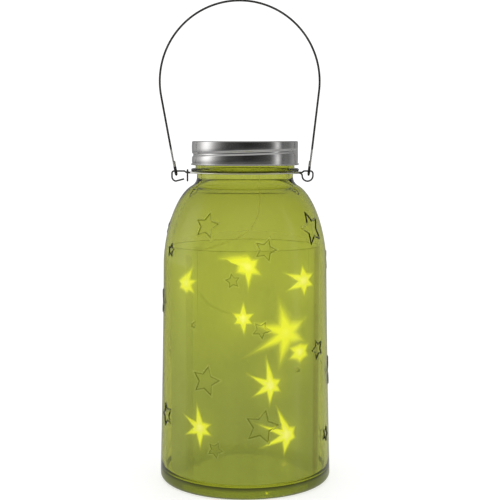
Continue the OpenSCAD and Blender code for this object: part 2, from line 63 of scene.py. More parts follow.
def place(angle: float, radius: float, height: float) -> Point:
    """Point on a ring.

    Args:
        angle: degrees from the front, towards +X.
        radius: distance from the jar's axis.
        height: height above the floor.

    Returns:
        The point's three coordinates.
    """
    turn = math.radians(angle)
    return (radius * math.sin(turn), -radius * math.cos(turn), height)


def arc(centre: Sequence[float], radius: float, start: float, end: float, steps: int) -> list:
    """Points of an arc in a flat profile.

    Args:
        centre: middle of the arc, across and up.
        radius: its radius.
        start: first angle in degrees.
        end: last angle in degrees.
        steps: number of chords.

    Returns:
        The arc's points as (across, up).
    """
    turns = [math.radians(start + (end - start) * i / steps) for i in range(steps + 1)]
    return [(centre[0] + radius * math.cos(t), centre[1] + radius * math.sin(t)) for t in turns]


def bend(centre: Point, radius: float, start: float, end: float, steps: int) -> list[Point]:
    """Points of a bend in an upright plane that runs along X.

    Args:
        centre: middle of the bend.
        radius: its radius.
        start: first angle in degrees, from +X towards +Z.
        end: last angle in degrees.
        steps: number of chords.

    Returns:
        The bend's points.
    """
    flat = arc((centre[0], centre[2]), radius, start, end, steps)
    return [(x, centre[1], z) for x, z in flat]


def smooth_line(points: Sequence[Sequence[float]], steps: int) -> list[tuple]:
    """Catmull-Rom line through points.

    Args:
        points: the points that the line passes through.
        steps: pieces between two of them.

    Returns:
        The points of the smooth line.
    """

    def between(t: float, p: float, q: float, r: float, s: float) -> float:
        """One coordinate at a share of the way from q to r."""
        square, cube = 2 * p - 5 * q + 4 * r - s, 3 * q - p - 3 * r + s
        return 0.5 * (2 * q + (r - p) * t + square * t * t + cube * t * t * t)

    line: list[tuple] = []
    last = len(points) - 1
    for i in range(last):
        a, b = points[max(i - 1, 0)], points[i]
        c, d = points[i + 1], points[min(i + 2, last)]
        for k in range(steps):
            line.append(tuple(between(k / steps, *four) for four in zip(a, b, c, d)))
    line.append(tuple(points[last]))
    return line


def ease(value: float) -> float:
    """Smooth step of a value that is held between 0 and 1."""
    t = min(max(value, 0.0), 1.0)
    return t * t * (3 - 2 * t)


def spin_profile(bm: bmesh.types.BMesh, profile: Sequence[Sequence[float]], steps: int) -> None:
    """Turns a closed profile round the jar's axis.

    Args:
        bm: mesh that receives the turned surface.
        profile: points as (radius, height); the last one joins the first.
        steps: pieces round the axis.
    """
    verts = [bm.verts.new((r * MM, 0.0, z * MM)) for r, z in profile]
    edges = [bm.edges.new(pair) for pair in zip(verts, verts[1:] + verts[:1])]
    bmesh.ops.spin(
        bm,
        geom=verts + edges,
        cent=(0, 0, 0),
        axis=(0, 0, 1),
        dvec=(0, 0, 0),
        angle=2 * math.pi,
        steps=steps,
        use_merge=True,
        use_normal_flip=False,
        use_duplicate=False,
    )
    bmesh.ops.remove_doubles(bm, verts=bm.verts, dist=1e-6)


def move_out(vert: bmesh.types.BMVert, factor: float) -> None:
    """Multiplies a vertex's distance from the jar's axis."""
    vert.co.x, vert.co.y = vert.co.x * factor, vert.co.y * factor


def split_edges(bm: bmesh.types.BMesh, edges: list, radius_at: Callable[[float], Optional[float]]) -> None:
    """Halves edges of a turned surface.

    Args:
        bm: the mesh that holds them.
        edges: the edges.
        radius_at: gives the surface's radius at a height, or None where a new point is left alone.
    """
    made = bmesh.ops.subdivide_edges(bm, edges=edges, cuts=1, use_grid_fill=True)
    for vert in made["geom_inner"]:
        radius = radius_at(vert.co.z / MM) if isinstance(vert, bmesh.types.BMVert) else None
        if radius:
            move_out(vert, radius * MM / math.hypot(vert.co.x, vert.co.y))


def climb(at: Vector, start: float, pitch: float, lead: float) -> tuple[float, float]:
    """One turn of a helix round the jar's axis.

    Args:
        at: a point near it.
        start: height of its lower end, on +X.
        pitch: how far it climbs in a turn.
        lead: degrees over which it fades in at each end.

    Returns:
        The helix's height on the point's side, and from 0 to 1 how far it has faded in there.
    """
    turn = math.degrees(math.atan2(at.y, at.x)) % 360
    return start + pitch * turn / 360, ease(turn / lead) * ease((360 - turn) / lead)


def as_object(bm: bmesh.types.BMesh, name: str, crease: float = 60.0) -> bpy.types.Object:
    """Closes a bmesh into a smooth-shaded object.

    Args:
        bm: the finished bmesh, which is freed.
        name: the object's name.
        crease: angle in degrees past which an edge stays sharp.

    Returns:
        The new object.
    """
    bmesh.ops.recalc_face_normals(bm, faces=bm.faces)
    mesh = bpy.data.meshes.new(name)
    bm.to_mesh(mesh)
    bm.free()
    for face in mesh.polygons:
        face.use_smooth = True
    mesh.set_sharp_from_angle(angle=math.radians(crease))
    obj = bpy.data.objects.new(name, mesh)
    bpy.context.scene.collection.objects.link(obj)
    return obj


def add_rod(
    bm: bmesh.types.BMesh,
    line: Sequence[Sequence[float]],
    radius: float,
    sides: int,
    swell: float = 1.0,
    above: float = math.inf,
) -> None:
    """Adds a round rod that follows a line.

    Args:
        bm: mesh that receives the rod.
        line: points of its centre line.
        radius: the rod's radius.
        sides: faces round it.
        swell: what the radius is multiplied by at the line's points above a height.
        above: that height.
    """
    curve = bpy.data.curves.new("rod", "CURVE")
    curve.dimensions = "3D"
    curve.bevel_depth = radius * MM
    curve.bevel_resolution = sides // 2 - 2
    curve.use_fill_caps = True
    spline = curve.splines.new("POLY")
    spline.points.add(len(line) - 1)
    for point, at in zip(spline.points, line):
        point.co = (at[0] * MM, at[1] * MM, at[2] * MM, 1.0)
        point.radius = swell if at[2] > above else 1.0
    holder = bpy.data.objects.new("rod", curve)
    bpy.context.scene.collection.objects.link(holder)
    depsgraph = bpy.context.evaluated_depsgraph_get()
    mesh = bpy.data.meshes.new_from_object(holder.evaluated_get(depsgraph))
    bm.from_mesh(mesh)
    bpy.data.objects.remove(holder)
    bpy.data.meshes.remove(mesh)
    bmesh.ops.remove_doubles(bm, verts=bm.verts, dist=1e-7)


# ------------------------------------------------------------------ shader toolkit


def srgb(red: float, green: float, blue: float) -> Colour:
    """Scene-linear colour of a screen colour given from 0 to 255."""

    def straight(value: float) -> float:
        """Linear value of one channel."""
        v = value / 255
        return v / 12.92 if v <= 0.04045 else ((v + 0.055) / 1.055) ** 2.4

    return (straight(red), straight(green), straight(blue))


def operator(operation: str, swapped: bool = False) -> Callable:
    """Makes a method of Signal out of a Math node's operation.

    Args:
        operation: the node's operation.
        swapped: whether the other value comes first.

    Returns:
        The method.
    """

    def method(signal: "Signal", other: Value) -> "Signal":
        """Result of the operation on the signal and another value."""
        return signal.maths(operation, *((other, signal) if swapped else (signal, other)))

    return method


class Signal:
    """An output socket that Python's operators work on as a number. A comparison gives 1 or 0."""

    __add__ = __radd__ = operator("ADD")
    __mul__ = __rmul__ = operator("MULTIPLY")
    __sub__ = operator("SUBTRACT")
    __rsub__ = operator("SUBTRACT", swapped=True)
    __truediv__ = operator("DIVIDE")
    __gt__ = operator("GREATER_THAN")
    __lt__ = operator("LESS_THAN")
    least = operator("MINIMUM")
    most = operator("MAXIMUM")

    def __init__(self, tree: "NodeBench", socket: bpy.types.NodeSocket) -> None:
        """Wraps a socket of a node tree."""
        self.tree = tree
        self.socket = socket

    def maths(self, operation: str, *values: Value) -> "Signal":
        """Adds a Math node.

        Args:
            operation: the node's operation.
            values: its inputs in order.

        Returns:
            The node's result.
        """
        return self.tree.add("ShaderNodeMath", {"operation": operation}, dict(enumerate(values)))

    def __neg__(self) -> "Signal":
        """Negative."""
        return self.maths("MULTIPLY", self, -1.0)

    def __abs__(self) -> "Signal":
        """Absolute value."""
        return self.maths("ABSOLUTE", self)

    def step(self, low: float, high: float) -> "Signal":
        """Smooth step from 0 at low to 1 at high."""
        settings = {"interpolation_type": "SMOOTHSTEP"}
        values = {"Value": self, "From Min": low, "From Max": high}
        return self.tree.add("ShaderNodeMapRange", settings, values)


class NodeBench:
    """A node tree under construction."""

    def __init__(self, tree: bpy.types.NodeTree) -> None:
        """Takes the node tree."""
        self.tree = tree

    def add(
        self,
        kind: str,
        settings: Optional[dict] = None,
        values: Optional[dict] = None,
        output: Union[int, str] = 0,
    ) -> Signal:
        """Adds a node.

        Args:
            kind: the node's type.
            settings: its settings, set before its sockets; "stops" holds a ramp's stops.
            values: numbers, colours or links of its input sockets, by name or place.
            output: the output socket that is wanted.

        Returns:
            That output socket.
        """
        node = self.tree.nodes.new(kind)
        for name, setting in (settings or {}).items():
            if name == "stops":
                self._set_stops(node.color_ramp, setting)
            else:
                setattr(node, name, setting)
        for name, value in (values or {}).items():
            if isinstance(value, Signal):
                self.tree.links.new(value.socket, node.inputs[name])
            else:
                node.inputs[name].default_value = value
        return Signal(self, node.outputs[output])

    @staticmethod
    def _set_stops(ramp: bpy.types.ColorRamp, stops: Sequence[tuple[float, Colour]]) -> None:
        """Gives a colour ramp its stops."""
        while len(ramp.elements) < len(stops):
            ramp.elements.new(1.0)
        for element, (at, colour) in zip(ramp.elements, stops):
            element.position = at
            element.color = (*colour, 1.0)

    def blend(self, factor: Value, first: Union[Colour, Signal], second: Union[Colour, Signal]) -> Signal:
        """Mixes two colours.

        Args:
            factor: share of the second.
            first: colour at 0.
            second: colour at 1.

        Returns:
            The mixed colour.
        """
        values: dict = {0: factor}
        for at, colour in ((6, first), (7, second)):
            values[at] = (*colour, 1.0) if isinstance(colour, tuple) else colour
        return self.add("ShaderNodeMix", {"data_type": "RGBA"}, values, 2)


class Finisher(NodeBench):
    """One material's node tree, with its Principled shader."""

    def __init__(self, name: str) -> None:
        """Makes an empty material with a Principled shader at its output."""
        self.material = bpy.data.materials.new(name)
        self.material.use_nodes = True
        super().__init__(self.material.node_tree)
        self.tree.nodes.clear()
        self.shader = self.tree.nodes.new("ShaderNodeBsdfPrincipled")
        self.output = self.tree.nodes.new("ShaderNodeOutputMaterial")
        self.tree.links.new(self.shader.outputs[0], self.output.inputs["Surface"])

    def constant(self, **values: Union[float, Colour]) -> None:
        """Sets sockets of the shader to values that are the same all over."""
        for name, value in values.items():
            socket = self.shader.inputs[name.replace("_", " ")]
            socket.default_value = (*value, 1.0) if isinstance(value, tuple) else value

    def feed(self, socket: str, signal: Signal) -> None:
        """Links a signal to a socket of the shader."""
        self.tree.links.new(signal.socket, self.shader.inputs[socket])

    def fill(self, volume: Signal) -> None:
        """Fills the inside of the surface with a volume shader."""
        self.tree.links.new(volume.socket, self.output.inputs["Volume"])

    def position(self) -> Signal:
        """Object coordinates."""
        return self.add("ShaderNodeTexCoord", output="Object")

    def axis(self, letter: str) -> Signal:
        """One of the object coordinates, in metres."""
        return self.add("ShaderNodeSeparateXYZ", {}, {0: self.position()}, letter)

    def noise(self, scale: float, stretch: Point = (1.0, 1.0, 1.0), detail: float = 3.0) -> Signal:
        """Noise on object coordinates.

        Args:
            scale: features per metre.
            stretch: factor on each axis.
            detail: octaves.

        Returns:
            Values round 0.5.
        """
        stretched = self.add("ShaderNodeMapping", {}, {0: self.position(), "Scale": stretch})
        return self.add("ShaderNodeTexNoise", {}, {"Vector": stretched, "Scale": scale, "Detail": detail})

    def ripple(self, height: Signal, strength: float, distance: float) -> None:
        """Gives the shader's normal a bump.

        Args:
            height: the bump's height, about 0 to 1.
            strength: share of the bump.
            distance: height in metres of a step from 0 to 1.
        """
        values = {"Strength": strength, "Distance": distance, "Height": height}
        self.feed("Normal", self.add("ShaderNodeBump", {}, values))


def dress(obj: bpy.types.Object, material: bpy.types.Material) -> None:
    """Gives a piece its material."""
    obj.data.materials.clear()
    obj.data.materials.append(material)


# ------------------------------------------------------------------ finishes


class Grain(Enum):
    """Direction of a metal's fine lines."""

    ROUND = (0.06, 0.06, 1.0)
    ALONG = (0.06, 1.0, 1.0)
    NONE = (1.0, 1.0, 1.0)


@dataclass(frozen=True)
class TintedGlass:
    """Moulded glass with a tint and a slightly uneven surface. The raised stars' ridges carry painted shade
    on the flank inside each outline and a painted highlight on the flank outside it, and the stippled base
    and the heel have a painted glow.
    """

    name: str = "tinted glass"
    tint: Colour = (0.80, 0.815, 0.555)
    pale: Colour = (0.83, 0.845, 0.59)
    # painted shade on the ridge flanks inside the stars' outlines
    deep: Colour = (0.28, 0.29, 0.12)
    # painted highlight on the ridge flanks outside the stars' outlines
    light: Colour = (1.0, 1.0, 0.90)
    body: Colour = (0.66, 0.681, 0.06)
    density: float = 290.0
    # painted glow of the stippled base, given as emission
    base_painted_glow: Colour = (0.052, 0.058, 0.028)
    # painted glow of the heel, given as emission
    heel_painted_glow: Colour = (0.080, 0.088, 0.020)
    stipple_r: float = 53.6
    stipple_z: float = 7.8
    # heights over which the heel's painted glow fades in
    heel_top: float = 9.5
    heel_foot: float = 6.8
    sheen: float = 0.22
    sheen_tint: Colour = (0.40, 0.41, 0.36)
    smear_rough: float = 0.03
    stipple_rough: float = 0.8
    wave: float = 0.0006

    def paint(self) -> bpy.types.Material:
        """Makes the material."""
        f = Finisher(self.name)
        f.constant(Transmission_Weight=1.0, IOR=1.47)
        f.constant(Specular_IOR_Level=self.sheen, Specular_Tint=self.sheen_tint)
        cloud = f.noise(14.0, detail=2.0)
        flank = f.add("ShaderNodeAttribute", {"attribute_name": "flank"}, {}, "Fac")
        face = f.blend(cloud.step(0.3, 0.7), self.tint, self.pale)
        # painted shade on the inner flank of each star's ridge, painted highlight on its outer flank
        face = f.blend(flank.step(0.1, 0.8), face, self.deep)
        face = f.blend((-flank).step(0.1, 0.9), face, self.light)
        f.feed("Base Color", face)
        depth = f.add("ShaderNodeVolumeAbsorption", {}, {"Color": (*self.body, 1.0), "Density": self.density})
        f.fill(depth)
        across, deep = f.axis("X"), f.axis("Y")
        reach = (across * across + deep * deep).maths("SQRT") / MM
        stippled = (reach < self.stipple_r) * (f.axis("Z") < self.stipple_z * MM)
        smears = f.noise(220.0, detail=4.0).step(0.55, 0.9) * self.smear_rough
        f.feed("Roughness", smears + stippled * self.stipple_rough)
        # painted glow: the heel and the stippled base emit light, though the glass is no lamp
        heel_glow_share = (f.axis("Z") / MM).step(self.heel_top, self.heel_foot)
        rest = f.blend(heel_glow_share, (0.0, 0.0, 0.0), self.heel_painted_glow)
        f.feed("Emission Color", f.blend(stippled, rest, self.base_painted_glow))
        f.constant(Emission_Strength=1.0)
        f.ripple(f.noise(55.0, (1.0, 1.0, 0.45), 1.0), 0.25, self.wave)
        return f.material


@dataclass(frozen=True)
class Starburst:
    """Film that turns each small light behind it into a yellow burst; between the bursts the film has a
    painted glow.
    """

    name: str = "starburst film"
    upper: Colour = (0.93, 0.97, 0.95)
    lower: Colour = (0.60, 0.66, 0.80)
    edge: Colour = srgb(96, 94, 56)
    fold: Colour = srgb(150, 118, 60)
    arm: Colour = (0.93, 0.90, 0.05)
    core: Colour = (1.0, 0.93, 0.55)
    # painted glow of the film's body: at the top, lower down, in streaks and over the fold
    painted_glow_top: Colour = (0.188, 0.194, 0.050)
    painted_glow_low: Colour = (0.16, 0.166, 0.078)
    painted_glow_streak: Colour = (0.06, 0.06, 0.03)
    painted_glow_fold: Colour = (0.03, 0.02, 0.0)
    glow: float = 1.25
    veil: float = 0.36
    top: float = 159.5
    foot: float = 7.0
    rim_top: float = 0.25
    rim_foot: float = 0.35
    rim_veil: float = 0.62
    lap_at: float = -36.0
    lap_half: float = 0.30
    crease_at: float = 52.6
    crease_half: float = 0.22
    seam_z: tuple[float, float] = (105.0, 150.0)
    fold_at: float = 67.0
    fold_half: tuple[float, float] = (8.0, 4.0)
    arm_from: tuple[float, float] = (0.0, 0.52)
    core_from: tuple[float, float] = (0.5, 0.95)
    haze_share: float = 0.34
    arm_veil: float = 0.96

    def paint(self) -> bpy.types.Material:
        """Makes the material. The mesh carries the bursts' shape as an attribute."""
        f = Finisher(self.name)
        f.constant(Roughness=0.35, IOR=1.4, Specular_IOR_Level=0.1)
        burst = f.add("ShaderNodeAttribute", {"attribute_name": "burst"}, {}, "Vector")
        shape = f.add("ShaderNodeSeparateXYZ", {}, {0: burst}, "X")
        haze = f.add("ShaderNodeSeparateXYZ", {}, {0: burst}, "Y")
        height = f.axis("Z")
        arms = shape.step(*self.arm_from)
        core = shape.step(*self.core_from)
        streaks = f.noise(70.0, (1.0, 1.0, 0.08), 3.0)
        lines = f.noise(900.0, (1.0, 1.0, 0.2), 2.0)
        cloud = f.noise(16.0, (1.0, 1.0, 0.7), 2.0)
        angle = f.axis("X").maths("ARCTAN2", f.axis("X"), -f.axis("Y")) * (180 / math.pi)
        rims = (height > (self.top - self.rim_top) * MM).most(height < (self.foot + self.rim_foot) * MM)
        lap = abs(angle - self.lap_at) < self.lap_half
        seams = lap.most((abs(angle - self.crease_at) < self.crease_half) * 0.7)
        seams = seams * (height / MM).step(*self.seam_z) * 0.5
        band = abs(angle - self.fold_at).step(*self.fold_half) * 0.45
        low = 1 - (height / (self.top * MM)).least(1.0)
        body = f.blend((low * 1.15 + cloud * 0.5 - 0.25).step(0.0, 1.0), self.upper, self.lower)
        body = f.blend(band, body, self.fold)
        body = f.blend(rims.most(seams), body, self.edge)
        f.feed("Base Color", body)
        glow = f.blend(core, self.arm, self.core)
        # painted glow of the film's body, given as emission between the bursts
        sheen = f.blend(low.step(0.0, 0.7), self.painted_glow_top, self.painted_glow_low)
        sheen = f.blend((streaks * 0.6 + cloud * 0.4).step(0.35, 0.75) * 0.45, sheen, self.painted_glow_streak)
        sheen = f.blend(band, sheen, self.painted_glow_fold)
        f.feed("Emission Color", f.blend(arms.most(haze * self.haze_share), sheen, glow))
        f.constant(Emission_Strength=self.glow)
        veil = self.veil + lines * 0.05 + low * 0.06
        f.feed("Alpha", veil.most(rims * self.rim_veil).most(seams).most(arms * self.arm_veil))
        f.ripple(lines, 0.2, 0.0001)
        return f.material


@dataclass(frozen=True)
class ClearTape:
    """Thin clear tape."""

    name: str = "clear tape"
    tone: Colour = srgb(236, 236, 200)
    creased: Colour = srgb(214, 214, 170)

    def paint(self) -> bpy.types.Material:
        """Makes the material."""
        f = Finisher(self.name)
        f.constant(Roughness=0.15, IOR=1.45, Specular_IOR_Level=0.1)
        crease = f.noise(260.0, (1.0, 1.0, 0.3))
        f.feed("Base Color", f.blend(crease, self.tone, self.creased))
        f.feed("Alpha", crease * 0.05 + 0.03)
        f.ripple(crease, 0.15, 0.00005)
        return f.material


@dataclass(frozen=True)
class Steel:
    """Bare metal with fine lines and dull spots."""

    name: str
    bright: Colour
    dull: Colour
    roughness: float
    grain: Grain = Grain.NONE
    lines: float = 900.0
    spots: float = 70.0
    depth: float = 0.00003

    def paint(self) -> bpy.types.Material:
        """Makes the material."""
        f = Finisher(self.name)
        f.constant(Metallic=1.0)
        lines = f.noise(self.lines, self.grain.value, 3.0)
        spots = f.noise(self.spots, detail=5.0)
        f.feed("Base Color", f.blend((spots * 0.7 + lines * 0.3).step(0.35, 0.7), self.bright, self.dull))
        f.feed("Roughness", lines * 0.12 + spots * 0.14 + (self.roughness - 0.13))
        f.ripple(lines, 0.35, self.depth)
        return f.material


@dataclass(frozen=True)
class DrawnWire:
    """Dark drawn wire that is given bright bare metal over one stretch, as a painted highlight."""

    name: str
    dark: Colour = (0.022, 0.021, 0.020)
    grey: Colour = (0.045, 0.044, 0.041)
    # bright: colour of the painted highlight; low to high and near to far bound the stretch that gets it
    bright: Colour = (0.86, 0.85, 0.80)
    low: float = 213.0
    high: float = 221.5
    near: float = 39.8
    far: float = 200.0

    def paint(self) -> bpy.types.Material:
        """Makes the material."""
        f = Finisher(self.name)
        f.constant(Specular_IOR_Level=0.35, Specular_Tint=(0.5, 0.5, 0.5))
        streaks = f.noise(420.0, (1.0, 1.0, 0.25), 3.0)
        height = f.axis("Z") / MM
        # painted highlight: bright bare metal over a stretch set by height and by distance from the middle
        rubbed = height.step(self.low - 1.5, self.low) * (1 - height.step(self.high, self.high + 2.5))
        aside = abs(f.axis("X")) / MM
        rubbed = rubbed * (aside > self.near) * (aside < self.far) * (streaks * 0.4 + 0.8).least(1.0)
        drawn = f.blend(streaks.step(0.35, 0.7), self.dark, self.grey)
        f.feed("Base Color", f.blend(rubbed, drawn, self.bright))
        f.feed("Metallic", rubbed)
        f.feed("Roughness", streaks * 0.15 + 0.42 - rubbed * 0.12)
        f.ripple(streaks, 0.1, 0.000005)
        return f.material


@dataclass(frozen=True)
class Moulded:
    """Moulded plastic or rubber with a fine texture."""

    name: str
    tone: Colour
    shade: Colour
    roughness: float
    texture: float = 1400.0
    depth: float = 0.00004

    def paint(self) -> bpy.types.Material:
        """Makes the material."""
        f = Finisher(self.name)
        f.constant(IOR=1.46)
        texture = f.noise(self.texture, detail=2.0)
        flow = f.noise(40.0, detail=3.0)
        f.feed("Base Color", f.blend(flow.step(0.35, 0.7), self.tone, self.shade))
        f.feed("Roughness", texture * 0.2 + flow * 0.1 + (self.roughness - 0.15))
        f.ripple(texture, 0.5, self.depth)
        return f.material


@dataclass(frozen=True)
class LeadLacquer:
    """Straw-coloured lacquer on the fine leads, dark where they cross the film's front left, with a
    painted glow that is palest above the film."""

    name: str = "lead lacquer"
    straw: Colour = srgb(226, 220, 170)
    worn: Colour = srgb(206, 198, 140)
    dark: Colour = srgb(40, 38, 22)
    # colour of the leads' painted glow above the film
    pale: Colour = (1.0, 1.0, 0.6)
    glow: float = 0.22
    dark_z: tuple[float, float] = (118.0, 134.0)
    dark_x: tuple[float, float] = (-34.0, -6.0)
    pale_z: float = 162.0

    def paint(self) -> bpy.types.Material:
        """Makes the material."""
        f = Finisher(self.name)
        f.constant(Roughness=0.4)
        height, side = f.axis("Z") / MM, f.axis("X") / MM
        run = (height > self.dark_z[0]) * (height < self.dark_z[1])
        run = run * (side > self.dark_x[0]) * (side < self.dark_x[1]) * (f.axis("Y") < 0.0)
        spots = f.noise(300.0)
        tone = f.blend(run, f.blend(spots, self.straw, self.worn), self.dark)
        f.feed("Base Color", tone)
        # painted glow: the leads emit their own tone, and a pale tone above the film
        f.feed("Emission Color", f.blend(height > self.pale_z, tone, self.pale))
        f.constant(Emission_Strength=self.glow)
        f.ripple(spots, 0.2, 0.00001)
        return f.material


@dataclass(frozen=True)
class CellSleeve:
    """Printed sleeve of a cell, with a band at one end and bare metal at the tip."""

    name: str
    end: float
    body: Colour = srgb(28, 30, 36)
    band: Colour = srgb(186, 120, 52)
    metal: Colour = srgb(200, 198, 190)
    rubbed: Colour = srgb(120, 118, 112)
    band_x: float = 10.5
    tip_x: float = 21.3

    def paint(self) -> bpy.types.Material:
        """Makes the material. The band lies at the end of X that the field end gives the sign of."""
        f = Finisher(self.name)
        along = f.axis("X") * self.end
        band = along > self.band_x * MM
        tip = abs(along) > self.tip_x * MM
        worn = f.noise(300.0).step(0.45, 0.8) * 0.15
        sleeve = f.blend(worn, f.blend(band, self.body, self.band), self.rubbed)
        f.feed("Base Color", f.blend(tip, sleeve, self.metal))
        f.feed("Metallic", tip.most(band * 0.6))
        f.feed("Roughness", worn + 0.26)
        f.ripple(f.noise(200.0), 0.2, 0.00005)
        return f.material


@dataclass(frozen=True)
class Lit:
    """Resin drop with a light inside."""

    name: str = "lit resin"
    resin: Colour = (0.95, 0.86, 0.40)
    amber: Colour = (0.90, 0.70, 0.20)
    bright: Colour = (1.0, 0.90, 0.35)
    warm: Colour = (1.0, 0.80, 0.16)
    glow: float = 2.5

    def paint(self) -> bpy.types.Material:
        """Makes the material."""
        f = Finisher(self.name)
        f.constant(Roughness=0.15, Emission_Strength=self.glow)
        cloud = f.noise(700.0)
        f.feed("Base Color", f.blend(cloud, self.resin, self.amber))
        f.feed("Emission Color", f.blend(cloud, self.bright, self.warm))
        return f.material


GLASS = TintedGlass()
FILM = Starburst()
TAPE = ClearTape()
BAND_STEEL = Steel(
    "band steel",
    (0.63, 0.625, 0.61),
    (0.54, 0.535, 0.53),
    0.17,
    Grain.ROUND,
    lines=500.0,
    spots=25.0,
    depth=0.000008,
)
DISC_STEEL = Steel("disc steel", (0.58, 0.57, 0.54), (0.42, 0.41, 0.40), 0.30, Grain.ALONG)
# the bail's painted highlight lies on its legs just above the hooks
BAIL_WIRE = DrawnWire("bail wire")
# the neck wire's painted highlight runs along the ring, leaving the ears dark
RING_WIRE = DrawnWire("neck wire", low=200.0, high=214.0, near=-1.0, far=36.5)
SCREW_STEEL = Steel("screw steel", (0.66, 0.66, 0.65), (0.45, 0.45, 0.45), 0.28)
SPRING_STEEL = Steel("spring steel", (0.75, 0.74, 0.71), (0.55, 0.53, 0.48), 0.22)
LEADS = LeadLacquer()
RUBBER = Moulded("seal rubber", srgb(62, 60, 58), srgb(44, 43, 42), 0.75)
BLACK = Moulded("black plastic", srgb(38, 38, 40), srgb(26, 26, 28), 0.5)
WHITE = Moulded("white plastic", srgb(214, 212, 204), srgb(190, 188, 180), 0.42)
BOARD = Moulded("board green", srgb(22, 84, 44), srgb(14, 60, 32), 0.35, 500.0)


# ------------------------------------------------------------------ jar


@dataclass(frozen=True)
class RaisedStar:
    """Outline star moulded on the glass: where it lies, its size and its turn in degrees."""

    angle: float
    height: float
    size: float
    turn: float
    notch: float = 0.5

    @property
    def tip(self) -> float:
        """Distance from the centre to a tip."""
        return self.size / 1.9


